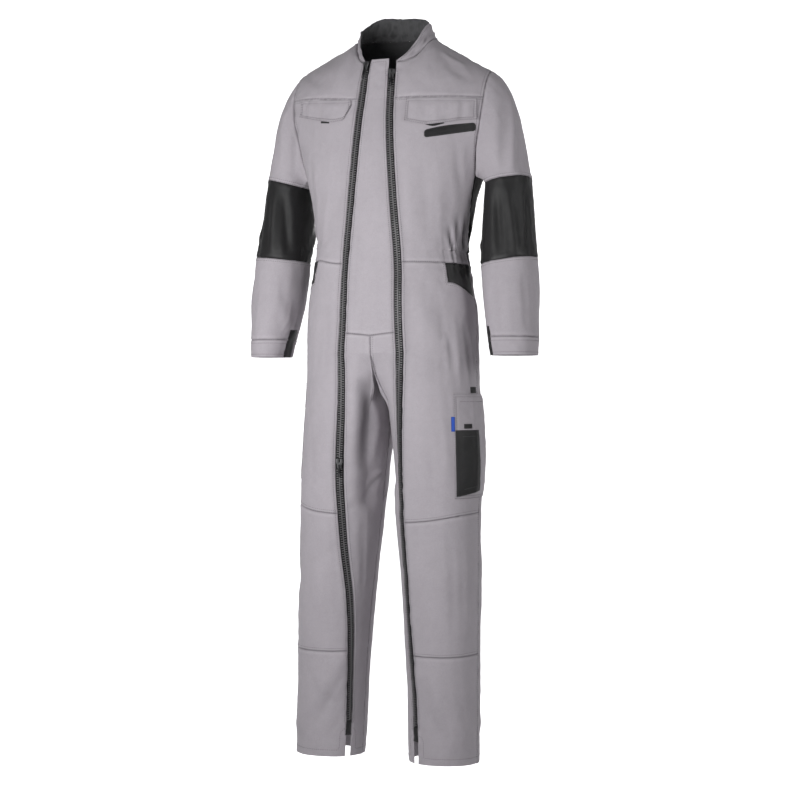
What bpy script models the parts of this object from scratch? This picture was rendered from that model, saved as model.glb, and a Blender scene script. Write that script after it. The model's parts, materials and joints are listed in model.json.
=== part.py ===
"""Two-zip boiler suit, filled out as if worn by someone standing with the arms down.

Metres, +Z up. The front faces -Y and the wearer's left is at +X. The origin lies in the middle of
the body, level with the points where the shoulder seams meet the collar. Heights in the tables are measured up
from the lowest edge of the leg hems, and every table has one row for each section.

The outer face of the suit is worked out first, as one skin of rings. Each sewn piece is then cut
out of that skin and given its thickness inwards.
"""

import math

import bmesh
import bpy
import numpy as np
from mathutils import Matrix, Vector
from mathutils.bvhtree import BVHTree

# ---------------------------------------------------------------- driving sizes

CLOTH = 0.0012  # thickness of the twill
SEAM_GAP = 0.0003  # left between two pieces that are sewn edge to edge
LIFT = 0.0009  # air under a patch that lies on a panel

NECK_SIDE_HEIGHT = 1.528  # the origin's height above the hems
SHOULDER_TIP = (0.216, 0.002, 1.454)
CHEST_SEAM = 1.392
UNDERARM = 1.236
BAND_TOP = 1.075
WAIST_SEAM = 1.048
INSET_EDGE = 1.007  # front end of the slanted edge of the side pocket
INSET_SLANT = 0.033  # how far that edge falls to the outseam
CENTRE_SEAM = 0.902  # lower edge of the panel between the zips
FORK = 0.860  # the legs' own rings start here
CROTCH_DROP = 0.062  # lowest point of the crotch seam below the fork
LEG_ROUND = 0.600  # from here down each leg is a plain oval tube
BACK_KNEE = 0.555  # where the seam of the back leg meets the inseam
BACK_KNEE_RISE = 0.100  # how far that seam rises behind the leg
KNEE_SEAM = 0.512
KNEE_SEAM_LIFT = {"left": -0.004, "right": 0.011}  # at the zip
WAIST_LIFT = {"left": 0.0, "right": 0.012}  # the elastic draws the waist up on the right
WAIST_LIFT_REACH = ([0.955, 1.048, 1.075, 1.145], [0, 1, 1, 0])
CENTRE_DIP = 0.006  # the centre panel's lower seam is drawn down in its middle
CENTRE_DIP_REACH = ([0.860, 0.902, 0.955], [0, 1, 0])
KNEE_SEAM_SLANT = 0.018  # how much higher the knee seam is at the outseam
SHIN_SEAM = 0.232
FACING_TOP = 0.078
NOTCH = 0.046  # the open slit at the foot of each zip
HEM_RISE = 0.011  # how much higher the hems are in front than behind

SLIT = math.radians(151)  # where the cuff's slit lies round the sleeve, before the cuff is turned
CUFF_TURN = {"left": math.radians(5), "right": math.radians(34)}
CUFF_TURN_REACH = ([0.930, 1.059], [1, 0])
ELBOW_SEAM = 1.2185
FOREARM_SEAM = 1.059
PLACKET_TOP = 0.915
CUFF_SEAM = 0.8936
CUFF_EDGE = 0.8555

NECK_CENTRE = -0.012
NECK_HALF_WIDTH = {"left": 0.095, "right": 0.0765}
NECK_FRONT = 0.084
NECK_BACK = 0.076
NECK_FRONT_HEIGHT = 1.468
NECK_BACK_HEIGHT = 1.545

SHOULDER_RISE = 0.017  # the wearer's right shoulder is held this much higher
NECK_SHIFT = 0.006  # and the neck leans this far to the left

COLLAR_LEAN = {  # inward, as a share of the height
    "left": ([3, 19], [0.42, 0.42]),
    "right": ([3, 6, 15, 19], [0.30, 0.16, 0.16, 0.42]),
}
COLLAR_COLUMNS = [3, 4, 5, 6, 15, 16, 17, 18, 19]
COLLAR_HEIGHT = {
    "left": [0.004, 0.024, 0.033, 0.033, 0.033, 0.036, 0.041, 0.0445, 0.045],
    "right": [0.004, 0.018, 0.024, 0.025, 0.025, 0.031, 0.038, 0.0435, 0.045],
}

ZIP_TAPE = 0.015  # visible width of both tapes together

OVAL = 0.92  # below 1 the ovals of the legs and sleeves are a little squared
CROTCH_OVAL = 0.85
CHEST_BOW = 2.6  # how late the chest curves back towards the armhole
SHOULDER_BOW = -0.001  # rise of the shoulder seam in its middle
YOKE_HUMP = ([0, 3, 6, 9, 12, 15, 19], [0.25, 0.35, 0.75, 0.6, 0.6, 0.7, 0.6])
GATHERS_FROM = 6.5  # the column where the gathers begin, and how many columns they take to fill
GATHERS_FILL = 1.5

OUTSEAM_ON_LEG = math.radians(91.5)
SEAT_ON_LEG = math.radians(232)  # where the centre back runs into the leg
INSEAM_BEHIND = math.radians(270)
INNER_SHARE = 0.42  # where the centre front lies between the inseam and the zip
LEG_RADIUS = 0.080
BACK_KNEE_REACH = 0.14  # how far above and below a seam the net follows its slant
KNEE_SEAM_REACH = 0.07
HEM_REACH = 0.2

# The directions in which the sleeve head leaves the underarm, leaves the shoulder and reaches the
# elbow panel, and how far each holds, as a share of the way.
HEAD_UNDER = (0.05, 0.0, -1.0)
HEAD_OVER = {"left": (0.92, 0.0, -0.44), "right": (0.55, 0.0, -0.60)}
HEAD_SPREAD = 0.30
HEAD_HOLD = 0.30
HEAD_END = (-0.09, 0.0, 0.42)

SETTLE_FROM = 1.10  # the raised shoulder and leaning neck begin at these heights
SETTLE_REACH = 0.25
NECK_SHIFT_FROM = 1.342
NECK_SHIFT_REACH = 0.15

LEAST_CORNER = 0.4  # keeps a wall's corner from running out too far
SMOOTH_BELOW = math.radians(50)

# ---------------------------------------------------------------- tables


class Table:
    """Rows of sizes, with a smooth curve of values between them."""

    def __init__(self, columns, *rows):
        self.names = columns.split()[1:]
        data = np.array(sorted(rows), float)
        self.keys, self.values = data[:, 0], data[:, 1:]
        self.slopes = np.gradient(self.values, self.keys, axis=0)

    def at(self, key):
        """The sizes at each key, as a dictionary of arrays."""
        key = np.clip(np.asarray(key, float), self.keys[0], self.keys[-1])
        i = np.clip(np.searchsorted(self.keys, key, side="right") - 1, 0, len(self.keys) - 2)
        step = (self.keys[i + 1] - self.keys[i])[..., None]
        t = (key - self.keys[i])[..., None] / step
        values = (
            (2 * t**3 - 3 * t**2 + 1) * self.values[i]
            + (t**3 - 2 * t**2 + t) * step * self.slopes[i]
            + (3 * t**2 - 2 * t**3) * self.values[i + 1]
            + (t**3 - t**2) * step * self.slopes[i + 1]
        )
        return {name: values[..., k] for k, name in enumerate(self.names)}


# The body of the suit: half its width, and where the cloth lies at centre front, side and back.
TRUNK = Table(
    "height half_width front side back roundness",
    (0.860, 0.188, -0.133, 0.000, 0.130, 2.30),
    (0.930, 0.187, -0.134, 0.000, 0.130, 2.30),
    (0.990, 0.182, -0.133, 0.000, 0.120, 2.25),
    (1.048, 0.168, -0.131, 0.000, 0.103, 2.20),
    (1.070, 0.162, -0.130, 0.002, 0.100, 2.20),
    (1.130, 0.171, -0.127, 0.004, 0.112, 2.20),
    (1.186, 0.180, -0.124, 0.006, 0.125, 2.25),
    (1.236, 0.194, -0.121, 0.010, 0.134, 2.30),
    (1.290, 0.206, -0.118, 0.012, 0.140, 2.35),
    (1.340, 0.214, -0.112, 0.014, 0.140, 2.40),
    (1.392, 0.221, -0.104, 0.016, 0.134, 2.45),
)

# How far round from the front the side panel's two edges lie, in degrees. Below the waist the
# front one is the outseam.
PANEL = Table(
    "height front back",
    (0.860, 92.0, 118.0),
    (0.930, 94.0, 122.0),
    (0.990, 97.0, 127.0),
    (1.048, 99.0, 129.0),
    (1.075, 99.0, 129.0),
    (1.130, 93.0, 124.0),
    (1.186, 86.0, 118.0),
    (1.236, 80.0, 112.0),
)

# Distance of each zip from the middle of the body.
ZIP_ON_BODY = Table(
    "height left right",
    (0.860, 0.0640, 0.0680),
    (0.902, 0.0620, 0.0650),
    (1.048, 0.0580, 0.0590),
    (1.180, 0.0463, 0.0480),
    (1.350, 0.0340, 0.0350),
    (1.470, 0.0290, 0.0290),
)

# How far round from the front of each leg its zip lies, in degrees towards the other leg.
ZIP_ON_LEG = Table(
    "height left right",
    (0.000, 28.0, 54.0),
    (0.140, 29.5, 53.0),
    (0.350, 37.0, 42.0),
    (0.460, 36.0, 27.0),
    (0.560, 34.5, 18.0),
    (0.860, 30.0, 18.0),
)

# Each leg: the middle of its oval, half its width and half its depth.
LEG = Table(
    "height middle_x middle_y half_width half_depth",
    (0.000, 0.1290, -0.036, 0.0720, 0.0820),
    (0.230, 0.1235, -0.026, 0.0765, 0.0880),
    (0.400, 0.1165, -0.020, 0.0830, 0.0940),
    (0.512, 0.1100, -0.015, 0.0880, 0.0990),
    (0.600, 0.1060, -0.008, 0.0915, 0.1060),
    (0.860, 0.1000, 0.0000, 0.0930, 0.1200),
)

# Each sleeve below the armhole: the middle of its oval, half its width and depth. The right wrist
# is pressed flatter.
SLEEVE = Table(
    "height middle_x middle_y left right half_depth",
    (0.850, 0.2780, -0.020, 0.0480, 0.0400, 0.0560),
    (0.896, 0.2740, -0.016, 0.0520, 0.0460, 0.0600),
    (0.960, 0.2680, -0.008, 0.0560, 0.0550, 0.0640),
    (1.052, 0.2600, 0.0040, 0.0580, 0.0580, 0.0650),
    (1.140, 0.2535, 0.0200, 0.0530, 0.0535, 0.0660),
    (1.222, 0.2505, 0.0300, 0.0465, 0.0465, 0.0680),
)

# How much higher each sleeve's rings sit than the heights that name them, at their middle, and how
# much more at their outer side.
SLEEVE_LIFT = Table(
    "height left left_tilt right right_tilt",
    (0.850, 0.0000, 0.0000, 0.0000, 0.0000),
    (0.930, 0.0000, 0.0000, 0.0000, 0.0000),
    (1.059, -0.0055, 0.0075, 0.0110, 0.0060),
    (1.140, 0.0000, 0.0060, 0.0120, 0.0050),
    (1.222, 0.0060, 0.0070, 0.0100, 0.0110),
)

# Depth of the gathers at and near the elastic at the waist.
GATHER = Table(
    "height depth",
    (0.990, 0.0),
    (1.020, 0.0008),
    (1.048, 0.0022),
    (1.075, 0.0026),
    (1.105, 0.0022),
    (1.150, 0.0004),
    (1.175, 0.0),
)


def smooth(t):
    """Rises from 0 to 1 with level ends."""
    t = np.clip(t, 0, 1)
    return t * t * (3 - 2 * t)


def mix(a, b, t):
    return a * (1 - t) + b * t


def vectors(x, y, z):
    return np.stack(np.broadcast_arrays(x, y, z), axis=-1).astype(float)


def power(value, exponent):
    return np.abs(value) ** exponent


# ---------------------------------------------------------------- the body
#
# A column of the body is a number from 0 at the centre front to 19 at the centre back:
# 2 and 3 are the edges of the zip tape, 7 the front edge of the side pocket, 9 the outseam,
# 12 the back edge of the side panel. On the neck and shoulders 6 and 15 are the neck side.

FRONT_STEPS = ([3, 4, 5, 6, 7, 8, 9], [0, 0.12, 0.24, 0.36, 0.48, 0.74, 1.0])
LEG_STEPS = ([3, 4, 5, 6, 7, 8, 9], [0, 0.15, 0.30, 0.45, 0.60, 0.80, 1.0])
LAST = 19


def ring_point(row, angle):
    """A point of a body ring at an angle round from the front."""
    exponent = 2 / row["roundness"]
    end = np.where(np.cos(angle) > 0, row["front"], row["back"])
    x = row["half_width"] * power(np.sin(angle), exponent)
    y = mix(row["side"], end, power(np.cos(angle), exponent))
    return x, y


def angle_at_x(row, x):
    return np.arcsin(np.clip(power(x / row["half_width"], row["roundness"] / 2), 0, 1))


def zip_edges(height, side):
    middle = ZIP_ON_BODY.at(height)[side]
    return middle - ZIP_TAPE / 2, middle + ZIP_TAPE / 2


def body_angle(column, height, row, side):
    """How far round the body ring a column lies."""
    inner, outer = zip_edges(height, side)
    across = np.where(column < 2, inner * column / 2, mix(inner, outer, column - 2))
    near = angle_at_x(row, across)
    panel = PANEL.at(height)
    panel_front, panel_back = np.radians(panel["front"]), np.radians(panel["back"])
    front = mix(angle_at_x(row, outer), panel_front, np.interp(column, *FRONT_STEPS))
    flank = mix(panel_front, panel_back, (column - 9) / 3)
    back = mix(panel_back, math.pi, (column - 12) / (LAST - 12))
    return np.select([column <= 3, column <= 9, column <= 12], [near, front, flank], back)


def body_point(column, height, side):
    """A point of the body between the fork and the underarm, gathers included."""
    column, height = np.broadcast_arrays(np.asarray(column, float), np.asarray(height, float))
    row = TRUNK.at(height)
    x, y = ring_point(row, body_angle(column, height, row, side))
    out_x = x / row["half_width"] ** 2
    out_y = (y - row["side"]) / row["front"] ** 2
    length = np.hypot(out_x, out_y)
    reach = smooth((column - GATHERS_FROM) / GATHERS_FILL)
    wave = -GATHER.at(height)["depth"] * np.cos(2 * math.pi * column) * reach
    fall = INSET_SLANT * smooth((column - 7) / 2)
    bend = np.interp(height, [CENTRE_SEAM, INSET_EDGE, WAIST_SEAM], [0, 1, 0])
    beside = smooth((column - 3) / 4) * smooth((LAST - 1 - column) / 6)
    lift = WAIST_LIFT[side] * beside * np.interp(height, *WAIST_LIFT_REACH)
    dip = CENTRE_DIP * np.clip(1 - column / 2, 0, 1) * np.interp(height, *CENTRE_DIP_REACH)
    z = height - fall * bend + lift - dip
    return vectors(x + wave * out_x / length, y + wave * out_y / length, z)


UNDERARM_ROW = {name: float(value) for name, value in TRUNK.at(UNDERARM).items()}
UNDERARM_PANEL = {name: math.radians(value) for name, value in PANEL.at(UNDERARM).items()}
PANEL_FRONT, PANEL_BACK = UNDERARM_PANEL["front"], UNDERARM_PANEL["back"]

# The front and back edges of the armhole, from the underarm up to the chest seam.
ARMHOLE = Table(
    "height front_x front_y back_x back_y",
    (UNDERARM, *ring_point(UNDERARM_ROW, PANEL_FRONT), *ring_point(UNDERARM_ROW, PANEL_BACK)),
    (1.290, 0.2000, -0.0370, 0.1890, 0.0760),
    (1.340, 0.2100, -0.0450, 0.1960, 0.0840),
    (CHEST_SEAM, 0.2160, -0.0420, 0.2040, 0.0780),
)


def sheet_point(column, height, side):
    """A point of the front or back sheet between the underarm and the chest seam."""
    column, height = np.broadcast_arrays(np.asarray(column, float), np.asarray(height, float))
    front = column <= 9
    row, edge = TRUNK.at(height), ARMHOLE.at(height)
    centre_y = np.where(front, row["front"], row["back"])
    edge_x = np.where(front, edge["front_x"], edge["back_x"])
    edge_y = np.where(front, edge["front_y"], edge["back_y"])
    ring_edge_x, ring_edge_y = ring_point(UNDERARM_ROW, np.where(front, PANEL_FRONT, PANEL_BACK))
    ring_x, ring_y = ring_point(UNDERARM_ROW, body_angle(column, height, UNDERARM_ROW, side))
    ring_end = np.where(front, UNDERARM_ROW["front"], UNDERARM_ROW["back"])
    ring_bow = (ring_y - ring_end) / (ring_edge_y - ring_end)
    inner, outer = zip_edges(height, side)
    zone = np.where(column < 2, inner * column / 2, mix(inner, outer, column - 2))
    even = mix(outer, edge_x, np.interp(column, *FRONT_STEPS))
    even = np.where(front, even, edge_x * (LAST - column) / (LAST - 12))
    up = smooth((height - UNDERARM) / (CHEST_SEAM - UNDERARM))
    x = np.where(column <= 3, zone, mix(ring_x / ring_edge_x * edge_x, even, up))
    bow = mix(ring_bow, power(x / edge_x, CHEST_BOW), up)
    return vectors(x, mix(centre_y, edge_y, bow), height)


def neck_point(column, side):
    """A point of the neck seam; it is level with the shoulder seam at columns 6 and 15."""
    column = np.asarray(column, float)
    inner, outer = zip_edges(NECK_FRONT_HEIGHT, side)
    zone = np.where(column < 2, inner * column / 2, mix(inner, outer, column - 2))
    half_width = NECK_HALF_WIDTH[side]
    zip_turn = math.asin(float(outer) / half_width)
    turn = np.where(
        column <= 3,
        np.arcsin(np.clip(zone / half_width, 0, 1)),
        np.where(
            column <= 6,
            mix(zip_turn, math.pi / 2, (column - 3) / 3),
            mix(math.pi / 2, math.pi, (column - 15) / 4),
        ),
    )
    forward = np.cos(turn)
    depth = np.where(forward > 0, NECK_FRONT, NECK_BACK)
    low = NECK_SIDE_HEIGHT - NECK_FRONT_HEIGHT
    rise = NECK_BACK_HEIGHT - NECK_SIDE_HEIGHT
    height = NECK_SIDE_HEIGHT + np.where(forward > 0, -low * smooth(forward), rise * smooth(-forward))
    return vectors(half_width * np.sin(turn), NECK_CENTRE - depth * forward, height)


def top_edge(column, side):
    """The neck seam and the shoulder seam, which end the front and back sheets."""
    column = np.asarray(column, float)
    along = np.where(column <= 9, (column - 6) / 3, (15 - column) / 3)[..., None]
    tip = np.array(SHOULDER_TIP)
    neck_side = neck_point(6.0, side)
    seam = mix(neck_side, tip, along)
    seam[..., 2] += SHOULDER_BOW * np.sin(math.pi * np.clip(along[..., 0], 0, 1))
    on_shoulder = ((column > 6) & (column < 15))[..., None]
    return np.where(on_shoulder, seam, neck_point(column, side))


def yoke_point(column, part, side):
    """A point between the chest seam (part 0) and the neck or shoulder seam (part 1)."""
    column, part = np.broadcast_arrays(np.asarray(column, float), np.asarray(part, float))
    low, high = sheet_point(column, CHEST_SEAM, side), top_edge(column, side)
    turn = part * math.pi / 2
    hump = np.interp(column, *YOKE_HUMP)
    flat = mix(part, 1 - np.cos(turn), hump)[..., None]
    rise = mix(part, np.sin(turn), hump)[..., None]
    return np.concatenate(
        [mix(low[..., :2], high[..., :2], flat), mix(low[..., 2:], high[..., 2:], rise)], axis=-1
    )


# ---------------------------------------------------------------- the legs
#
# A column of a leg is the body's column from 0 to 19, and goes on along the crotch seam to the
# inseam, which is -2 round the front and 21 round the back.


def crotch_point(column):
    """A point of the crotch seam, from the centre front under to the centre back."""
    front = column < 10
    turn = np.where(front, -column / 2, (column - LAST) / 2) * math.pi / 2
    row = {name: float(value) for name, value in TRUNK.at(FORK).items()}
    end = np.where(front, row["front"], row["back"])
    y = end * power(np.cos(turn), CROTCH_OVAL)
    return vectors(0, y, FORK - CROTCH_DROP * power(np.sin(turn), CROTCH_OVAL))


def leg_angle(column, height, side):
    """How far round from the front of the leg a column lies, outwards, in radians."""
    zip_middle = -np.radians(ZIP_ON_LEG.at(height)[side])
    half = ZIP_TAPE / 2 / LEG_RADIUS
    centre = mix(-math.pi / 2, zip_middle, INNER_SHARE)
    inner = mix(-math.pi / 2, centre, (column + 2) / 2)
    by_zip = mix(centre, zip_middle - half, column / 2)
    tape = zip_middle + half * (2 * (column - 2) - 1)
    front = mix(zip_middle + half, OUTSEAM_ON_LEG, np.interp(column, *LEG_STEPS))
    back = mix(OUTSEAM_ON_LEG, SEAT_ON_LEG, (column - 9) / (LAST - 9))
    last = mix(SEAT_ON_LEG, INSEAM_BEHIND, (column - LAST) / 2)
    return np.select(
        [column <= 0, column <= 2, column <= 3, column <= 9, column <= LAST],
        [inner, by_zip, tape, front, back],
        last,
    )


def leg_point(column, height, side):
    """A point of a leg between the fork and the hem."""
    column, height = np.broadcast_arrays(np.asarray(column, float), np.asarray(height, float))
    row = LEG.at(height)
    angle = leg_angle(column, height, side)
    ring_x = row["middle_x"] + row["half_width"] * np.sign(np.sin(angle)) * power(np.sin(angle), OVAL)
    ring_y = row["middle_y"] - row["half_depth"] * np.sign(np.cos(angle)) * power(np.cos(angle), OVAL)
    on_body = ((column >= 0) & (column <= LAST))[..., None]
    body = body_point(np.clip(column, 0, LAST), np.full(column.shape, FORK), side)
    top = np.where(on_body, body, crotch_point(column))
    down = np.clip((FORK - height) / (FORK - LEG_ROUND), 0, 1)
    early = np.clip(1 - np.minimum(column, LAST - column) / 4, 0, 1)
    blend = mix(smooth(down), down * (2 - down), early)
    behind = np.sin(math.pi * np.clip((column - 9) / 12, 0, 1)) ** 2
    near_seam = np.exp(-(((height - BACK_KNEE) / BACK_KNEE_REACH) ** 2))
    hump = BACK_KNEE_RISE * behind * near_seam * smooth((FORK - height) / BACK_KNEE_RISE)
    low = np.where(height >= LEG_ROUND, mix(top[..., 2], LEG_ROUND, down), height)
    before = KNEE_SEAM_LIFT[side] + KNEE_SEAM_SLANT * smooth((column - 3) / 6)
    before = before * smooth((column + 2) / 4) * smooth((13 - column) / 4)
    knee = before * np.exp(-(((height - KNEE_SEAM) / KNEE_SEAM_REACH) ** 2))
    hem = HEM_RISE * (1 + np.cos(angle)) / 2 * smooth(1 - height / HEM_REACH)
    z = low + hump + knee + hem
    return vectors(mix(top[..., 0], ring_x, blend), mix(top[..., 1], ring_y, blend), z)


# ---------------------------------------------------------------- the sleeves


def armhole_loop(side, lower_rows, upper_parts, bottom_columns):
    """The armhole's points, up the front edge, down the back edge and along the bottom."""
    rows, parts = np.array(lower_rows), np.array(upper_parts[1:])
    front = [sheet_point(9.0, rows, side), yoke_point(9.0, parts, side)]
    back = [sheet_point(12.0, rows, side), yoke_point(12.0, parts[:-1], side)]
    behind = np.concatenate(back)[::-1]
    bottom = body_point(np.array(bottom_columns[::-1][1:], float), UNDERARM, side)
    return np.concatenate([*front, behind, bottom])


def loop_angles(loop, tip):
    """Where each armhole point goes round the sleeve: 0 outwards, a quarter turn at the front."""
    steps = np.linalg.norm(np.diff(loop, axis=0), axis=1)
    along = np.concatenate([[0], np.cumsum(steps)])
    total = along[-1]
    middle = (along[2 * tip] + total) / 2  # the lowest point of the armhole
    front_length = along[tip] + total - middle
    front = math.pi * (along[tip] - along) / front_length
    back = -math.pi * (along - along[tip]) / (middle - along[tip])
    under = math.pi * (along[tip] + total - along) / front_length
    return np.select([along <= along[tip], along <= middle], [front, back], under)


def sleeve_ring(angle, height, side):
    row, lift = SLEEVE.at(height), SLEEVE_LIFT.at(height)
    angle = angle + CUFF_TURN[side] * np.interp(height, *CUFF_TURN_REACH)
    across = np.sign(np.cos(angle)) * power(np.cos(angle), OVAL)
    ahead = np.sign(np.sin(angle)) * power(np.sin(angle), OVAL)
    x = row["middle_x"] + row[side] * across
    z = height + lift[side] + lift[f"{side}_tilt"] * across
    return vectors(x, row["middle_y"] - row["half_depth"] * ahead, z)


def sleeve_head(loop, angle, part, side):
    """A point between the armhole (part 0) and the elbow panel's upper seam (part 1)."""
    end = sleeve_ring(angle, ELBOW_SEAM, side)
    reach = np.linalg.norm(end - loop, axis=-1)[..., None]
    outward = ((1 + np.cos(angle)) / 2)[..., None]
    start = mix(np.array(HEAD_UNDER), np.array(HEAD_OVER[side]), outward)
    start = start + vectors(0, -HEAD_SPREAD * np.sin(angle), 0)
    start = start / np.linalg.norm(start, axis=-1)[..., None]
    first = loop + start * HEAD_HOLD * reach
    second = end + np.array(HEAD_END) * reach
    rest = 1 - part
    return rest**3 * loop + 3 * rest**2 * part * first + 3 * rest * part**2 * second + part**3 * end


def collar_point(column, part, side):
    """A point of the stand collar, which leans in and runs out to nothing at each zip."""
    base = neck_point(column, side)
    tall = np.interp(column, COLLAR_COLUMNS, COLLAR_HEIGHT[side]) * part
    centre = np.array([0.0, NECK_CENTRE])
    inward = centre - base[..., :2]
    inward = inward / np.linalg.norm(inward, axis=-1)[..., None]
    lean = (np.interp(column, *COLLAR_LEAN[side]) * tall)[..., None] * inward
    return np.concatenate([base[..., :2] + lean, base[..., 2:] + tall[..., None]], axis=-1)


# ---------------------------------------------------------------- the skin
#
# Rows of the net, from the bottom up. A fine row has an extra point inside each cell, which
# carries one gather.

LEG_ROWS = [0, NOTCH, FACING_TOP, 0.118, 0.156, 0.194, SHIN_SEAM, 0.278, 0.325, 0.372, 0.419, 0.466]
LEG_ROWS += [KNEE_SEAM, BACK_KNEE, 0.600, 0.645, 0.690, 0.735, 0.780, 0.820, FORK]
BODY_ROWS = [FORK, CENTRE_SEAM, 0.955, INSET_EDGE, WAIST_SEAM, 1.0615, BAND_TOP, 1.105, 1.145, 1.190]
BODY_ROWS += [UNDERARM]
FINE_ROWS = (WAIST_SEAM, 1.0615, BAND_TOP, 1.105)
SHEET_ROWS = [UNDERARM, 1.275, 1.314, 1.353, CHEST_SEAM]
YOKE_PARTS = [0, 0.2, 0.4, 0.6, 0.8, 1.0]
HEAD_PARTS = [0, 0.25, 0.5, 0.75, 1.0]
COLLAR_PARTS = [0, 0.5, 1.0]
SLEEVE_ROWS = [ELBOW_SEAM, 1.180, 1.140, 1.100, FOREARM_SEAM, 1.016, 0.973, PLACKET_TOP, CUFF_SEAM]
SLEEVE_ROWS += [0.8745, CUFF_EDGE]
ZIP_TOP = {"left": 0.6, "right": 1.0}  # how far up the yoke each zip is closed


def body_piece(column, height, side):
    """Which sewn piece holds this place on the body, from the fork to the chest seam."""
    if column < 2:
        return "centre_front" if height > CENTRE_SEAM else f"inner_front_{side}"
    if column < 3:
        return f"zip_tape_{side}"
    if height < WAIST_SEAM:
        if column > 9:
            return f"back_leg_upper_{side}"
        return f"pocket_inset_{side}" if column > 7 and height > INSET_EDGE else f"thigh_{side}"
    if column > 7 and height < BAND_TOP:
        return "waistband"
    if column < 9:
        return f"chest_{side}"
    return f"side_panel_{side}" if column < 12 else "back_panel"


def yoke_piece(column, part, side):
    if column < 2:
        return "centre_front"
    if column < 3:
        return f"zip_tape_{side}" if part < ZIP_TOP[side] else None
    if column < 9:
        return f"front_yoke_{side}"
    return "back_yoke" if column > 12 else None


def leg_piece(column, height, side):
    if column < 2 or column > LAST + 2:
        return f"inner_front_{side}"
    if column < 3:
        if height < NOTCH:
            return None
        return f"hem_facing_{side}" if height < FACING_TOP else f"zip_tape_{side}"
    if column < 9:
        names = {SHIN_SEAM: "shin", KNEE_SEAM: "knee", FORK: "thigh"}
        return next(f"{name}_{side}" for top, name in names.items() if height < top)
    return f"back_leg_lower_{side}" if height < BACK_KNEE else f"back_leg_upper_{side}"


def sleeve_piece(first, second, height, side):
    if height < PLACKET_TOP and second < SLIT < first:
        return f"placket_{side}"
    names = {CUFF_SEAM: "cuff", FOREARM_SEAM: "forearm", ELBOW_SEAM: "elbow"}
    return next(f"{name}_{side}" for top, name in names.items() if height < top)


def middles(values):
    values = np.asarray(values, float)
    return (values[:-1] + values[1:]) / 2


def doubled(columns):
    """The columns with one more inside each cell."""
    return np.sort(np.concatenate([columns, middles(columns)]))


def settled(points):
    """The points as the suit is worn, with the right shoulder a little higher than the left."""
    x, y, z = points.T
    high = smooth((z - SETTLE_FROM) / SETTLE_REACH)
    rise = SHOULDER_RISE * smooth(-x / SHOULDER_TIP[0]) * high
    return vectors(x + NECK_SHIFT * smooth((z - NECK_SHIFT_FROM) / NECK_SHIFT_REACH), y, z + rise)


def facing(points, triangles):
    """The direction that each triangle faces."""
    corners = points[triangles]
    normal = np.cross(corners[:, 1] - corners[:, 0], corners[:, 2] - corners[:, 0])
    return normal / np.linalg.norm(normal, axis=1)[:, None]


def corner_steps(points, triangles):
    """For each point, the outward step that makes a wall of thickness 1, also round a corner."""
    face = facing(points, triangles)
    corners = points[triangles]
    total = np.zeros_like(points)
    for k in range(3):
        first = corners[:, (k + 1) % 3] - corners[:, k]
        second = corners[:, (k + 2) % 3] - corners[:, k]
        cosine = (first * second).sum(1)
        cosine /= np.linalg.norm(first, axis=1) * np.linalg.norm(second, axis=1)
        np.add.at(total, triangles[:, k], face * np.arccos(cosine)[:, None])
    unit = total / np.linalg.norm(total, axis=1)[:, None]
    least = np.ones(len(unit))
    for k in range(3):
        np.minimum.at(least, triangles[:, k], (unit[triangles[:, k]] * face).sum(1))
    return unit / np.clip(least, LEAST_CORNER, 1)[:, None]


class Skin:
    """The outer face of the whole suit, each face marked with the piece it belongs to."""

    def __init__(self):
        self.mesh = bmesh.new()
        self.layer = self.mesh.faces.layers.int.new("piece")
        self.names = []

    def face(self, points, piece, mirrored):
        if piece not in self.names:
            self.names.append(piece)
        turned = points[::-1] if mirrored else points
        face = self.mesh.faces.new([self.mesh.verts.new(point) for point in turned])
        face[self.layer] = self.names.index(piece)

    def strip(self, low, high, pieces, side):
        """Faces between two rows of points, one or two to a cell; a cell with no piece is open."""
        mirrored = side == "right"
        flip = np.array([-1.0 if mirrored else 1.0, 1.0, 1.0])
        low, high = low * flip, high * flip
        below, above = (len(low) - 1) // len(pieces), (len(high) - 1) // len(pieces)
        for cell, piece in enumerate(pieces):
            if piece is None:
                continue
            if below == above:
                for k in range(cell * below, (cell + 1) * below):
                    self.face([low[k], low[k + 1], high[k + 1], high[k]], piece, mirrored)
            else:
                bottom = list(low[cell * below : (cell + 1) * below + 1])
                top = list(high[cell * above : (cell + 1) * above + 1])
                self.face(bottom + top[::-1], piece, mirrored)

    def finish(self):
        """Joins the strips along their shared points and cuts every face into triangles."""
        bmesh.ops.remove_doubles(self.mesh, verts=self.mesh.verts, dist=2e-5)
        bmesh.ops.triangulate(self.mesh, faces=self.mesh.faces)
        self.mesh.normal_update()
        self.mesh.verts.ensure_lookup_table()
        self.points = settled(np.array([vertex.co for vertex in self.mesh.verts]))
        self.triangles = np.array([[v.index for v in face.verts] for face in self.mesh.faces])
        self.marks = np.array([face[self.layer] for face in self.mesh.faces])
        self.mesh.free()


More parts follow.
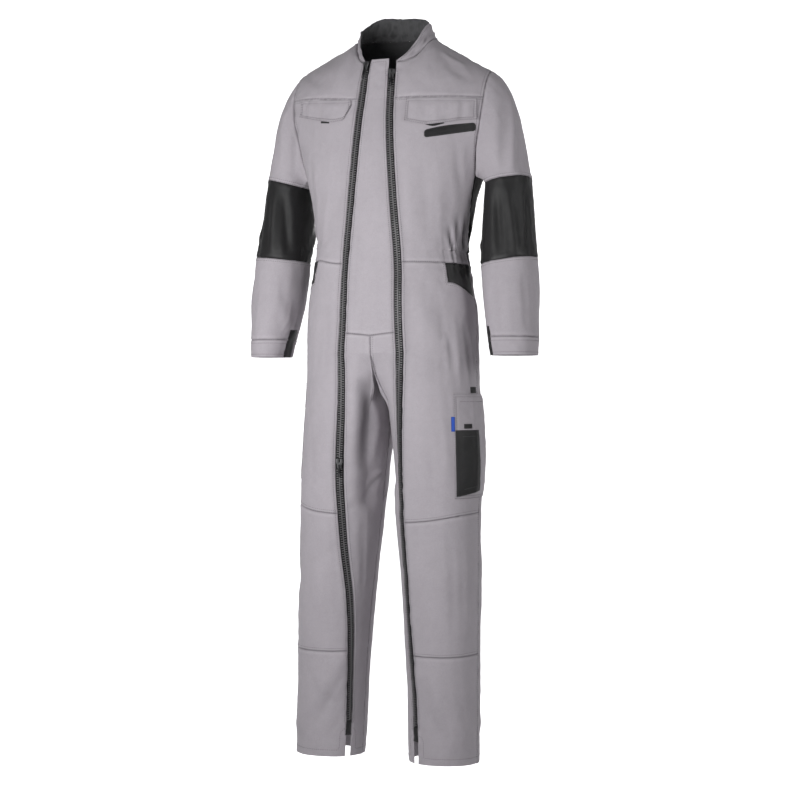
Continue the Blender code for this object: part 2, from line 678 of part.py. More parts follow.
def suit_skin():
    skin = Skin()
    body_columns = np.arange(LAST + 1.0)
    leg_columns = np.arange(-2.0, LAST + 3)
    for side in ("left", "right"):
        for low, high in zip(LEG_ROWS, LEG_ROWS[1:]):
            pieces = [leg_piece(c, (low + high) / 2, side) for c in middles(leg_columns)]
            rows = [leg_point(leg_columns, height, side) for height in (low, high)]
            skin.strip(*rows, pieces, side)
        for low, high in zip(BODY_ROWS, BODY_ROWS[1:]):
            pieces = [body_piece(c, (low + high) / 2, side) for c in middles(body_columns)]
            rows = []
            for height in (low, high):
                columns = doubled(body_columns) if height in FINE_ROWS else body_columns
                rows.append(body_point(columns, height, side))
            skin.strip(*rows, pieces, side)
        for low, high in zip(SHEET_ROWS, SHEET_ROWS[1:]):
            for columns in (body_columns[:10], body_columns[12:]):
                pieces = [body_piece(c, (low + high) / 2, side) for c in middles(columns)]
                rows = [sheet_point(columns, height, side) for height in (low, high)]
                skin.strip(*rows, pieces, side)
        for low, high in zip(YOKE_PARTS, YOKE_PARTS[1:]):
            for columns in (body_columns[:10], body_columns[12:]):
                pieces = [yoke_piece(c, (low + high) / 2, side) for c in middles(columns)]
                rows = [yoke_point(columns, part, side) for part in (low, high)]
                skin.strip(*rows, pieces, side)
        loop = armhole_loop(side, SHEET_ROWS, YOKE_PARTS, [9, 10, 11, 12])
        tip = len(SHEET_ROWS) + len(YOKE_PARTS) - 2
        angles = loop_angles(loop, tip)
        for high, low in zip(HEAD_PARTS, HEAD_PARTS[1:]):
            rows = [sleeve_head(loop, angles, part, side) for part in (low, high)]
            skin.strip(*rows, [f"sleeve_upper_{side}"] * (len(loop) - 1), side)
        for high, low in zip(SLEEVE_ROWS, SLEEVE_ROWS[1:]):
            rows = [sleeve_ring(angles, height, side) for height in (low, high)]
            cells = zip(angles, angles[1:])
            pieces = [sleeve_piece(*cell, (low + high) / 2, side) for cell in cells]
            skin.strip(*rows, pieces, side)
        for low, high in zip(COLLAR_PARTS, COLLAR_PARTS[1:]):
            for columns in (body_columns[3:7], body_columns[15:]):
                rows = [collar_point(columns, part, side) for part in (low, high)]
                skin.strip(*rows, ["collar_outer"] * (len(columns) - 1), side)
    skin.finish()
    return skin


# ---------------------------------------------------------------- folds

# The largest folds: where each starts and ends, as an angle round the body, leg or sleeve and a
# height, and how far it stands out (or in, below 0) and half its width.
FOLD_COLUMNS = "part side from_angle from_height to_angle to_height depth half_width"
FOLDS = (
    ("leg", "right", -52, 0.790, -60, 0.560, -0.012, 0.026),
    ("leg", "right", -36, 0.760, -34, 0.560, 0.005, 0.020),
    ("leg", "left", -50, 0.760, -62, 0.600, -0.006, 0.024),
    ("leg", "right", -30, 0.200, 35, 0.070, 0.007, 0.022),
    ("leg", "right", -20, 0.120, 45, 0.030, -0.006, 0.020),
    ("leg", "left", -10, 0.190, 50, 0.080, 0.006, 0.024),
    ("leg", "left", 20, 0.420, 75, 0.350, -0.004, 0.026),
    ("leg", "right", 0, 0.440, 60, 0.380, -0.004, 0.026),
    ("leg", "left", 130, 0.480, 200, 0.420, -0.007, 0.028),
    ("leg", "right", 125, 0.470, 205, 0.430, -0.007, 0.028),
    ("leg", "left", 150, 0.700, 205, 0.770, -0.008, 0.026),
    ("leg", "right", 150, 0.690, 205, 0.770, -0.008, 0.026),
    ("leg", "left", 140, 0.140, 200, 0.070, 0.006, 0.024),
    ("leg", "right", 140, 0.130, 200, 0.080, 0.006, 0.024),
    ("body", "left", 20, 0.980, 48, 0.880, 0.004, 0.028),
    ("body", "left", 130, 1.300, 160, 1.180, -0.006, 0.030),
    ("body", "right", 130, 1.300, 160, 1.180, -0.006, 0.030),
    ("sleeve", "left", 35, 1.200, 60, 1.080, 0.004, 0.022),
    ("sleeve", "right", 60, 1.190, 95, 1.080, 0.004, 0.022),
    ("sleeve", "left", -60, 1.090, -130, 1.060, -0.005, 0.024),
    ("sleeve", "right", -60, 1.090, -130, 1.060, -0.005, 0.024),
    ("sleeve", "right", 95, 0.960, 140, 0.905, 0.004, 0.018),
    ("sleeve", "left", 60, 0.990, 110, 0.930, 0.003, 0.020),
)


def limb_point(part, side, angle, height):
    """A place on the body, a leg or a sleeve by its angle and height."""
    if part == "leg":
        row = LEG.at(height)
        out = (math.sin(math.radians(angle)), -math.cos(math.radians(angle)))
        x = row["middle_x"] + row["half_width"] * out[0]
        y = row["middle_y"] + row["half_depth"] * out[1]
        place = vectors(x, y, height)
    elif part == "sleeve":
        place = sleeve_ring(np.radians(angle), height, side)
    else:
        place = vectors(*ring_point(TRUNK.at(height), np.radians(angle)), height)
    return place * np.array([-1.0 if side == "right" else 1.0, 1.0, 1.0])


def folded(points, triangles):
    """The skin's points with every fold pressed into them."""
    tree = BVHTree.FromPolygons(points.tolist(), triangles.tolist())
    steps = corner_steps(points, triangles)
    steps /= np.linalg.norm(steps, axis=1)[:, None]
    moved = points.copy()
    for values in FOLDS:
        fold = dict(zip(FOLD_COLUMNS.split(), values))
        ends = []
        for end in ("from", "to"):
            where = limb_point(fold["part"], fold["side"], fold[end + "_angle"], fold[end + "_height"])
            ends.append(np.array(tree.find_nearest(Vector(where))[0]))
        start, run = ends[0], ends[1] - ends[0]
        along = np.clip((points - start) @ run / (run @ run), 0, 1)
        away = np.linalg.norm(points - start - along[:, None] * run, axis=1)
        bump = fold["depth"] * np.exp(-((away / fold["half_width"]) ** 2))
        moved += steps * bump[:, None]
    return moved


# ---------------------------------------------------------------- sewn pieces


def smooth_object(name, points, faces, look):
    mesh = bpy.data.meshes.new(name)
    world = np.asarray(points) - np.array([0.0, 0.0, NECK_SIDE_HEIGHT])
    mesh.from_pydata([tuple(point) for point in world], [], [tuple(int(k) for k in face) for face in faces])
    mesh.shade_smooth()
    mesh.set_sharp_from_angle(angle=SMOOTH_BELOW)
    made = bpy.data.objects.new(name, mesh)
    suit.objects.link(made)
    made.data.materials.append(material(name, *LOOKS[look]))
    return made


def wall_object(name, outer, inner, triangles, look):
    """A closed wall between two faces that have the same triangles."""
    edges = np.concatenate([triangles[:, [0, 1]], triangles[:, [1, 2]], triangles[:, [2, 0]]])
    there = set(map(tuple, edges.tolist()))
    count = len(outer)
    faces = [list(face) for face in triangles]
    faces += [[face[2] + count, face[1] + count, face[0] + count] for face in triangles]
    for a, b in sorted(there):
        if (b, a) in there:
            continue
        # Both walls of a seam split their edge faces along the same diagonal.
        if a < b:
            faces += [[b, a, b + count], [a, a + count, b + count]]
        else:
            faces += [[b, a, a + count], [b, a + count, b + count]]
    return smooth_object(name, np.concatenate([outer, inner]), faces, look)


def drawn_in(points, triangles, distance):
    """The points, with those on the border moved into the piece by a distance."""
    face = facing(points, triangles)
    edges = {}
    for index, triangle in enumerate(triangles.tolist()):
        for k in range(3):
            edges[triangle[k], triangle[(k + 1) % 3]] = index
    steps = {}
    for (a, b), index in edges.items():
        if (b, a) in edges:
            continue
        inward = np.cross(face[index], points[b] - points[a])
        inward /= np.linalg.norm(inward)
        for end in (a, b):
            steps.setdefault(end, []).append(inward)
    moved = points.copy()
    for index, found in steps.items():
        total = np.sum(found, axis=0)
        total /= np.linalg.norm(total)
        moved[index] += distance * total / max(float(total @ found[0]), LEAST_CORNER)
    return moved


def cut_piece(skin, name, look, depth=0.0, marked=None):
    """One sewn piece of the suit, as a wall inside the skin; depth sinks it under another."""
    chosen = skin.triangles[skin.marks == skin.names.index(marked or name)]
    used, triangles = np.unique(chosen, return_inverse=True)
    triangles = triangles.reshape(-1, 3)
    outer = drawn_in(skin.points[used], triangles, SEAM_GAP / 2) - skin.steps[used] * depth
    return wall_object(name, outer, outer - skin.steps[used] * CLOTH, triangles, look)


# ---------------------------------------------------------------- pieces sewn on top
#
# Each patch has a row for each place across it: how far across, and the heights of its upper
# and lower edge there. Across is a distance from the middle of the chest, or an angle round the
# thigh from its front, in degrees.

THIGH_AXIS = (0.103, -0.003)
LAYER = CLOTH + LIFT

LEFT_FLAP = Table(
    "across top bottom",
    (0.067, 1.3885, 1.3410),
    (0.111, 1.3885, 1.3330),
    (0.149, 1.3880, 1.3370),
    (0.180, 1.3880, 1.3430),
    (0.205, 1.3880, 1.3450),
)
LEFT_FLAP_TAB = Table(
    "across top bottom",
    (0.110, 1.3370, 1.3325),
    (0.122, 1.3390, 1.3290),
    (0.146, 1.3430, 1.3345),
)
WELT = Table(
    "across top bottom",
    (0.1080, 1.3170, 1.3090),
    (0.1110, 1.3218, 1.3056),
    (0.1150, 1.3230, 1.3060),
    (0.1960, 1.3379, 1.3209),
    (0.2000, 1.3384, 1.3217),
    (0.2030, 1.3345, 1.3265),
)
RIGHT_FLAP = Table(
    "across top bottom",
    (0.055, 1.3885, 1.3780),
    (0.068, 1.3885, 1.3510),
    (0.085, 1.3885, 1.3430),
    (0.122, 1.3880, 1.3430),
    (0.188, 1.3880, 1.3540),
)
RIGHT_FLAP_TAB = Table("across top bottom", (0.106, 1.3480, 1.3390), (0.128, 1.3480, 1.3390))
CARGO_POCKET = Table("across top bottom", (40, 0.775, 0.558), (138, 0.775, 0.558))
TOOL_POCKET = Table("across top bottom", (42, 0.700, 0.562), (82, 0.700, 0.573))
TOOL_TAB = Table("across top bottom", (54, 0.7130, 0.7030), (67, 0.7130, 0.7030))
CARGO_TAB = Table("across top bottom", (69, 0.7900, 0.7765), (86, 0.7900, 0.7765))
SIDE_TAB = Table("across top bottom", (36.5, 0.728, 0.697), (41.0, 0.728, 0.697))
RULE_POCKET = Table("across top bottom", (63, 0.743, 0.592), (138, 0.743, 0.592))
RULE_BAND = Table("across top bottom", (63, 0.800, 0.745), (138, 0.800, 0.745))
CARGO_SWELL = 0.007  # how far the full pocket stands off the thigh in its middle
RULE_SWELL = 0.004


def chest_ray(across, height, side):
    sign = 1 if side == "left" else -1
    target = settled(np.array([[sign * across, 0.0, height]]))[0]
    return (target[0], -1.0, target[2]), (0.0, 1.0, 0.0)


def thigh_ray(across, height, side):
    sign = 1 if side == "left" else -1
    turn = math.radians(across)
    out = (sign * math.sin(turn), -math.cos(turn))
    start = (sign * THIGH_AXIS[0] + out[0], THIGH_AXIS[1] + out[1], height)
    return start, (-out[0], -out[1], 0.0)


def swell(shape, across, height, most):
    """How far a filled pocket stands off at a place, nothing at its edges."""
    keys = shape.keys
    row = shape.at(across)
    wide = np.clip((across - keys[0]) / (keys[-1] - keys[0]), 0, 1)
    high = np.clip((height - row["bottom"]) / (row["top"] - row["bottom"]), 0, 1)
    return most * float(np.sin(math.pi * wide) * np.sin(math.pi * high) ** 0.7)


def patch(name, shape, counts, ray, side, look, layer=0, swollen=None):
    """A piece of cloth that lies on the skin; layer counts the patches under it."""
    columns, rows = counts
    base = []
    for part in np.linspace(0, 1, rows + 1):
        for across in np.linspace(shape.keys[0], shape.keys[-1], columns + 1):
            edges = shape.at(across)
            height = float(mix(edges["bottom"], edges["top"], part))
            start, direction = ray(across, height, side)
            hit, normal, _, _ = skin_tree.ray_cast(Vector(start), Vector(direction))
            off = LIFT + layer * LAYER
            if swollen:
                off += swell(swollen[0], across, height, swollen[1])
            base.append(np.array(hit) + off * np.array(normal))
    base = np.array(base)
    corner = np.arange(rows)[:, None] * (columns + 1) + np.arange(columns)
    quads = np.stack([corner, corner + 1, corner + columns + 2, corner + columns + 1], -1)
    quads = quads.reshape(-1, 4)
    if side == "right":
        quads = quads[:, ::-1]
    triangles = np.concatenate([quads[:, :3], quads[:, [0, 2, 3]]])
    outer = base + corner_steps(base, triangles) * CLOTH
    return wall_object(name, outer, base, triangles, look)


def loft(name, sections, look):
    """A closed solid through rings of the same number of points."""
    count, size = len(sections), len(sections[0])
    faces = []
    for row in range(count - 1):
        for k in range(size):
            here, there = row * size + k, row * size + (k + 1) % size
            faces.append([here, there, there + size, here + size])
    faces.append(list(range(size))[::-1])
    faces.append(list(range((count - 1) * size, count * size)))
    return smooth_object(name, np.concatenate(sections), faces, look)


# ---------------------------------------------------------------- zips

CHAIN_WIDTH = 0.0062
CHAIN_GAP = 0.0006
CHAIN_TOP = 0.0024
SLIDER_LENGTH = 0.011
SLIDER_FLOOR = 0.0051
SLIDER_TOP = 0.0071
PIVOT_OUT = 0.0064
PIVOT_UP = 0.001

# Outline of a slider across the zip: a channel, with the pull's eye between its two walls.
SLIDER_OUTLINE = Table(
    "point across out",
    (0, -0.0040, CHAIN_TOP + SEAM_GAP),
    (1, 0.0040, CHAIN_TOP + SEAM_GAP),
    (2, 0.0040, SLIDER_TOP),
    (3, 0.0021, SLIDER_TOP),
    (4, 0.0021, SLIDER_FLOOR),
    (5, -0.0021, SLIDER_FLOOR),
    (6, -0.0021, SLIDER_TOP),
    (7, -0.0040, SLIDER_TOP),
)

# A pull tab from its eye to its free end.
PULL = Table(
    "along half_width half_thickness",
    (-0.0010, 0.0014, 0.0006),
    (0.0000, 0.0014, 0.0010),
    (0.0010, 0.0014, 0.0006),
    (0.0060, 0.0014, 0.0006),
    (0.0075, 0.0030, 0.0006),
    (0.0240, 0.0030, 0.0006),
    (0.0260, 0.0018, 0.0006),
)

# name, side and height of each slider
SLIDERS = (("top_left", "left", 1.4395), ("top_right", "right", 1.4600), ("low_right", "right", 0.6250))


class ZipLine:
    """The middle of a zip's tape from the hem facing up, with a direction across it."""

    def __init__(self, side):
        columns = np.array([2.0, 3.0])
        pairs = [leg_point(columns, h, side) for h in LEG_ROWS if h >= FACING_TOP]
        pairs += [body_point(columns, h, side) for h in BODY_ROWS[1:]]
        pairs += [sheet_point(columns, h, side) for h in SHEET_ROWS[1:]]
        parts = [part for part in YOKE_PARTS[1:] if part <= ZIP_TOP[side]]
        pairs += [yoke_point(columns, part, side) for part in parts]
        if side == "right":
            pairs = [pair * np.array([-1.0, 1.0, 1.0]) for pair in pairs]
        pairs = np.array([settled(pair) for pair in pairs])
        self.middle = np.array([skin_tree.find_nearest(Vector(p))[0] for p in pairs.mean(1)])
        across = pairs[:, 1] - pairs[:, 0]
        across = across * (1 if side == "left" else -1)
        self.across = across / np.linalg.norm(across, axis=1)[:, None]
        along = np.gradient(self.middle, axis=0)
        out = np.cross(self.across, along)
        self.out = out / np.linalg.norm(out, axis=1)[:, None]

    def frame(self, height):
        """Place, across, outward and upward directions on the zip at a height."""
        heights = self.middle[:, 2]
        k = int(np.clip(np.searchsorted(heights, height) - 1, 0, len(heights) - 2))
        t = (height - heights[k]) / (heights[k + 1] - heights[k])
        place = mix(self.middle[k], self.middle[k + 1], t)
        up = self.middle[k + 1] - self.middle[k]
        up = up / np.linalg.norm(up)
        out = np.cross(mix(self.across[k], self.across[k + 1], t), up)
        out = out / np.linalg.norm(out)
        return place, np.cross(up, out), out, up


def zip_chain(side, line):
    """The closed teeth, a strip on the tape from the hem facing to the top slider."""
    sections = []
    steps = np.arange(0, len(line.middle) - 0.9, 0.5)
    steps[-1] -= 0.02
    for step in steps:
        k = min(int(step), len(line.middle) - 2)
        place = mix(line.middle[k], line.middle[k + 1], step - k)
        half = mix(line.across[k], line.across[k + 1], step - k) * CHAIN_WIDTH / 2
        feet = []
        for edge in (place - half, place + half):
            hit, normal, _, _ = skin_tree.find_nearest(Vector(edge))
            feet.append((np.array(hit), np.array(normal)))
        (left, left_out), (right, right_out) = feet
        section = [left + left_out * CHAIN_GAP, left + left_out * CHAIN_TOP]
        section += [right + right_out * CHAIN_TOP, right + right_out * CHAIN_GAP]
        sections.append(section)
    loft(f"zip_chain_{side}", np.array(sections), "zip_teeth")


def slider_and_pull(name, line, height):
    """A slider on its chain, and its pull on its own pivot, hanging down."""
    place, across, out, up = line.frame(height)
    outline = SLIDER_OUTLINE.values
    ring = place + outline[:, :1] * across + outline[:, 1:] * out
    ends = [ring + up * SLIDER_LENGTH / 2, ring - up * SLIDER_LENGTH / 2]
    loft(f"slider_{name}", np.array(ends), "zip_metal")
    pivot = place + out * PIVOT_OUT + up * PIVOT_UP
    sections = []
    for along, (half_width, half_thickness) in zip(PULL.keys, PULL.values):
        middle = -up * along
        side_step, out_step = across * half_width, out * half_thickness
        sections.append(
            [
                middle - side_step - out_step,
                middle + side_step - out_step,
                middle + side_step + out_step,
                middle - side_step + out_step,
            ]
        )
    made = loft(f"pull_{name}", np.array(sections), "zip_metal")
    made.data.transform(Matrix.Translation((0, 0, NECK_SIDE_HEIGHT)))
    made.location = pivot - np.array([0, 0, NECK_SIDE_HEIGHT])


# ---------------------------------------------------------------- materials and assembly

LOOKS = {
    "grey_twill": ((0.445, 0.412, 0.447), 0.85, 0.0),
    "black_twill": ((0.026, 0.026, 0.027), 0.80, 0.0),
    "dark_lining": ((0.048, 0.048, 0.050), 0.85, 0.0),
    "zip_tape": ((0.060, 0.058, 0.060), 0.80, 0.0),
    "zip_teeth": ((0.035, 0.035, 0.036), 0.45, 0.0),
    "zip_metal": ((0.120, 0.120, 0.125), 0.35, 1.0),
    "blue_tab": ((0.045, 0.110, 0.420), 0.70, 0.0),
}

BLACK_PIECES = ("back_yoke", "side_panel", "pocket_inset", "elbow", "placket", "hem_facing")


def look_of(name):
    if name.startswith("zip_tape"):
        return "zip_tape"
    return "black_twill" if name.startswith(BLACK_PIECES) else "grey_twill"


def material(name, colour, roughness, metallic):
    made = bpy.data.materials.new(name)
    made.use_nodes = True
    made.diffuse_color = (*colour, 1.0)
    shader = made.node_tree.nodes["Principled BSDF"]
    shader.inputs["Base Color"].default_value = (*colour, 1.0)
    shader.inputs["Roughness"].default_value = roughness
    shader.inputs["Metallic"].default_value = metallic
    return made


def sewn_patches():
    patch("chest_flap_left", LEFT_FLAP, (12, 3), chest_ray, "left", "grey_twill")
    patch("flap_tab_left", LEFT_FLAP_TAB, (4, 1), chest_ray, "left", "black_twill", 1)
    patch("chest_welt", WELT, (10, 2), chest_ray, "left", "black_twill")
    patch("chest_flap_right", RIGHT_FLAP, (12, 3), chest_ray, "right", "grey_twill")
    patch("flap_tab_right", RIGHT_FLAP_TAB, (3, 1), chest_ray, "right", "black_twill", 1)
    full = (CARGO_POCKET, CARGO_SWELL)
    patch("cargo_pocket", CARGO_POCKET, (18, 12), thigh_ray, "left", "grey_twill", 0, full)
    patch("tool_pocket", TOOL_POCKET, (8, 6), thigh_ray, "left", "black_twill", 1, full)
    patch("tool_pocket_tab", TOOL_TAB, (3, 1), thigh_ray, "left", "black_twill", 1, full)
    patch("cargo_tab", CARGO_TAB, (3, 1), thigh_ray, "left", "black_twill")
    patch("side_tab", SIDE_TAB, (1, 3), thigh_ray, "left", "blue_tab", 1, full)
    rule = (RULE_POCKET, RULE_SWELL)
    patch("rule_pocket", RULE_POCKET, (18, 5), thigh_ray, "right", "grey_twill", 0, rule)
    patch("rule_pocket_band", RULE_BAND, (14, 2), thigh_ray, "right", "black_twill")


for old in list(bpy.data.objects):
    bpy.data.objects.remove(old, do_unlink=True)

suit = bpy.data.collections.new("boiler_suit")
bpy.context.scene.collection.children.link(suit)

skin = suit_skin()
skin.points = folded(skin.points, skin.triangles)
skin.steps = corner_steps(skin.points, skin.triangles)
skin_tree = BVHTree.FromPolygons(skin.points.tolist(), skin.triangles.tolist())
for piece in skin.names:
    cut_piece(skin, piece, look_of(piece))
cut_piece(skin, "collar_inner", "dark_lining", CLOTH + SEAM_GAP, "collar_outer")
sewn_patches()
lines = {side: ZipLine(side) for side in ("left", "right")}
for side, line in lines.items():
    zip_chain(side, line)
for name, side, height in SLIDERS:
    slider_and_pull(name, lines[side], height)
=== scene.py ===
import json
import math

import bmesh
import bpy
import numpy as np
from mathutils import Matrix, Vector, kdtree, noise
from mathutils.bvhtree import BVHTree
from mathutils.interpolate import poly_3d_calc


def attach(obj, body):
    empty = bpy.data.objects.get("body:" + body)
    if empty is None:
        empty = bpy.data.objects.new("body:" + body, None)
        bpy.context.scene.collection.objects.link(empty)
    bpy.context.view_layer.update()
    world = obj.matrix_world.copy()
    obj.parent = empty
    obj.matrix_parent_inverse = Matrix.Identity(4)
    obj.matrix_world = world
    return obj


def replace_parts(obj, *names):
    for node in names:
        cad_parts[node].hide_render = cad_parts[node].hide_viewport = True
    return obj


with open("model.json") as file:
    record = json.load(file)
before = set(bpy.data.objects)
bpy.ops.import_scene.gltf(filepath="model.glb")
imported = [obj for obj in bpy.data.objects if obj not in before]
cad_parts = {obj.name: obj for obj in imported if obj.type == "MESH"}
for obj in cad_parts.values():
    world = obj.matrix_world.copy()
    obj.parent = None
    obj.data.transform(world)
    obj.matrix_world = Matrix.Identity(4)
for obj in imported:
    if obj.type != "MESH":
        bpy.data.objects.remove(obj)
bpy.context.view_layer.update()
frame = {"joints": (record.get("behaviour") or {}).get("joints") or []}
neckHeight = 1.528  # heights below are measured up from the hems, and the origin lies this high
print("frame loaded")

# ---- camera, light and floor

camera = dict(turn=21.0, distance=3.5, height=0.775, lens=73.33, shiftX=0.0081, shiftY=-0.0069)


def inScene(name, data):
    made = bpy.data.objects.new(name, data)
    bpy.context.scene.collection.objects.link(made)
    return made


def makeCamera(size):
    data = bpy.data.cameras.new("camera")
    data.lens, data.sensor_width = size["lens"], 36
    data.shift_x, data.shift_y = size["shiftX"], size["shiftY"]
    made = inScene("camera", data)
    turn = math.radians(size["turn"])
    away = size["distance"]
    made.location = (math.sin(turn) * away, -math.cos(turn) * away, size["height"] - neckHeight)
    made.rotation_euler = (math.pi / 2, 0, turn)
    bpy.context.scene.camera = made


# azimuth and elevation of each lamp, how far off it stands, its width, its power and the height it points at
lamps = dict(
    key=(-14, 0, 1.35, 0.8, 16.0, -0.50),
    side=(74, 4, 2.2, 0.8, 13, -0.34),
    behind=(196, 10, 3.0, 1.6, 26, -0.60),
)


def makeLamp(name, azimuth, elevation, away, width, power, height):
    data = bpy.data.lights.new(name, "AREA")
    data.shape, data.size, data.energy = "DISK", width, power
    made = inScene(name, data)
    turn, rise = math.radians(azimuth), math.radians(elevation)
    back = Vector((math.sin(turn) * math.cos(rise), -math.cos(turn) * math.cos(rise), math.sin(rise)))
    made.location = back * away + Vector((0, 0, height))
    made.rotation_euler = back.to_track_quat("Z", "Y").to_euler()
    made.visible_camera = False


floorSize = dict(
    below=0.300, radius=9.0, bend=3.0, height=7.0, glow=1.0, glowFrom=0.1, glowTop=3.4, glowEdge=0.8, spread=0.50,
    softness=0.24,
)


def makeFloor(size):
    # a round floor that curves up into a pale wall all round
    profile = [(0.0, 0.0), (size["radius"] - size["bend"], 0.0)]
    for k in range(1, 13):
        turn = k / 12 * math.pi / 2
        out = size["radius"] - size["bend"] + size["bend"] * math.sin(turn)
        profile.append((out, size["bend"] * (1 - math.cos(turn))))
    profile.append((size["radius"], size["height"]))
    low = -neckHeight - size["below"]
    mesh = bmesh.new()
    points = [mesh.verts.new((r, 0, low + z)) for r, z in profile]
    edges = [mesh.edges.new(pair) for pair in zip(points, points[1:])]
    bmesh.ops.spin(
        mesh, geom=points + edges, cent=(0, 0, 0), axis=(0, 0, 1), angle=2 * math.pi, steps=64, use_duplicate=False
    )
    bmesh.ops.remove_doubles(mesh, verts=mesh.verts, dist=1e-4)
    bmesh.ops.recalc_face_normals(mesh, faces=mesh.faces)
    bmesh.ops.reverse_faces(mesh, faces=mesh.faces)
    data = bpy.data.meshes.new("floor")
    mesh.to_mesh(data)
    mesh.free()
    data.shade_smooth()
    return inScene("floor", data)


# ---- materials


class Wire:
    # one socket of a material, so that shader maths reads as plain sums

    def __init__(self, look, socket):
        self.look, self.socket = look, socket

    def math(self, operation, *values, clamp=False):
        settings = dict(operation=operation, use_clamp=clamp)
        return self.look.wire("ShaderNodeMath", settings, dict(enumerate(values)))

    def __add__(self, other):
        return self.math("ADD", self, other)

    def __radd__(self, other):
        return self.math("ADD", other, self)

    def __sub__(self, other):
        return self.math("SUBTRACT", self, other)

    def __rsub__(self, other):
        return self.math("SUBTRACT", other, self)

    def __mul__(self, other):
        return self.math("MULTIPLY", self, other)

    def __rmul__(self, other):
        return self.math("MULTIPLY", other, self)

    def __truediv__(self, other):
        return self.math("DIVIDE", self, other)

    def clamped(self):
        return self.math("MULTIPLY", self, 1.0, clamp=True)

    def sine(self):
        return self.math("SINE", self)


class Look:
    # a material with one Principled shader

    def __init__(self, name, colour, roughness, metallic=0.0, **constants):
        self.material = bpy.data.materials.new(name)
        self.material.use_nodes = True
        self.material.diffuse_color = (*colour, 1.0)
        self.tree = self.material.node_tree
        self.shader = self.tree.nodes["Principled BSDF"]
        self.set("Base Color", (*colour, 1.0))
        self.set("Roughness", roughness)
        self.set("Metallic", metallic)
        for socket, value in constants.items():
            self.set(socket.replace("_", " "), value)

    def add(self, kind, settings=None, inputs=None):
        node = self.tree.nodes.new(kind)
        for key, value in (settings or {}).items():
            setattr(node, key, value)
        for key, value in (inputs or {}).items():
            if isinstance(value, Wire):
                self.tree.links.new(value.socket, node.inputs[key])
            else:
                node.inputs[key].default_value = value
        return node

    def wire(self, kind, settings=None, inputs=None, output=0):
        return Wire(self, self.add(kind, settings, inputs).outputs[output])

    def set(self, socket, value):
        if isinstance(value, Wire):
            self.tree.links.new(value.socket, self.shader.inputs[socket])
        else:
            self.shader.inputs[socket].default_value = value

    def place(self):
        return self.wire("ShaderNodeTexCoord", output="Object")

    def noise(self, place, scale, detail=2.0, roughness=0.5):
        values = {"Vector": place, "Scale": scale, "Detail": detail, "Roughness": roughness}
        return self.wire("ShaderNodeTexNoise", None, values)

    def blend(self, factor, first, second):
        mixed = self.add("ShaderNodeMix", dict(data_type="RGBA"), {0: factor, 6: first, 7: second})
        return Wire(self, mixed.outputs[2])

    def split(self, place):
        parts = self.add("ShaderNodeSeparateXYZ", None, {0: place})
        return [Wire(self, parts.outputs[k]) for k in range(3)]

    def mark(self, name):
        return self.wire("ShaderNodeAttribute", dict(attribute_name=name), output="Fac")

    def bump(self, height, strength, distance):
        values = {"Strength": strength, "Distance": distance, "Height": height}
        self.set("Normal", self.wire("ShaderNodeBump", None, values))


def shade(colour, share):
    return tuple(min(1.0, value * share) for value in colour) + (1.0,)


# how fine each grain of the cloth is, how much its tone varies, how dark and pale the tones get, and how dark the
# painted shade in creases, folds and along seams makes the cloth
twill = dict(
    slant=1.6, warp=2.2, threads=1500.0, cloud=11.0, patchy=75.0, fleck=430.0, patchyShare=0.9, fleckShare=1.7,
    ribShare=0.5, rubbed=0.14, paintedShade=0.80, dark=0.62, pale=1.38, creased=0.20, strength=0.35, depth=0.00012,
)


def clothLook(name, colour, roughness=0.86, thread=0.0011, contrast=0.17, sheen=0.15, gloss=0.25, inside=None):
    # twill: fine slanting ribs, uneven threads, soft cloudy tone, paler rubbed seams, and shade painted into creases,
    # folds and along seams
    look = Look(name, colour, roughness, Sheen_Weight=sheen, Sheen_Roughness=0.45, Specular_IOR_Level=gloss)
    weave = look.wire("ShaderNodeUVMap", dict(uv_map="weave"))
    across, along, _ = look.split(weave)
    place = look.place()
    turn = 2 * math.pi / thread
    rib = ((across * turn + along * (turn * twill["slant"])).sine() + 1.0) * 0.5
    warp = ((across * (turn * twill["warp"])).sine() + 1.0) * 0.5
    threads = look.noise(weave, twill["threads"], 1.0)
    cloud = look.noise(place, twill["cloud"], 3.0, 0.6)
    patchy = look.noise(place, twill["patchy"], 3.0, 0.6)
    fleck = look.noise(place, twill["fleck"], 2.0)
    tone = (cloud - 0.5) * contrast + (patchy - 0.5) * (contrast * twill["patchyShare"])
    tone = tone + (fleck - 0.5) * (contrast * twill["fleckShare"]) + (rib - 0.5) * (contrast * twill["ribShare"])
    tone = tone + look.mark("rubbed") * twill["rubbed"]
    woven = look.blend((tone + 0.5).clamped(), shade(colour, twill["dark"]), shade(colour, twill["pale"]))
    # painted shade: the cloth's colour darkens where the skin marks creases, folds and seams
    shaded = (look.mark("paintedShade") * twill["paintedShade"]).clamped()
    shown = look.blend(shaded, woven, shade(colour, twill["creased"]))
    # the inner faces take the inside colour; for the black cloth this is painted light, paler than its own black so
    # that its shaded inside shows
    if inside:
        shown = look.blend(look.mark("inside").clamped(), shown, shade(inside, 1))
    look.set("Base Color", shown)
    look.set("Roughness", (cloud - 0.5) * 0.08 + roughness - look.mark("rubbed") * 0.05)
    look.bump(rib * 0.6 + warp * 0.25 + threads * 0.5, twill["strength"], twill["depth"])
    return look.material


def metalLook(name, colour, roughness):
    look = Look(name, colour, roughness, 0.85)
    place = look.place()
    grain = look.noise(place, 900.0, 2.0)
    smudge = look.noise(place, 120.0, 2.0)
    look.set("Roughness", (smudge - 0.5) * 0.25 + (grain - 0.5) * 0.1 + roughness)
    look.set("Base Color", look.blend(smudge.clamped(), shade(colour, 0.75), shade(colour, 1.3)))
    look.bump(grain, 0.15, 0.00005)
    return look.material


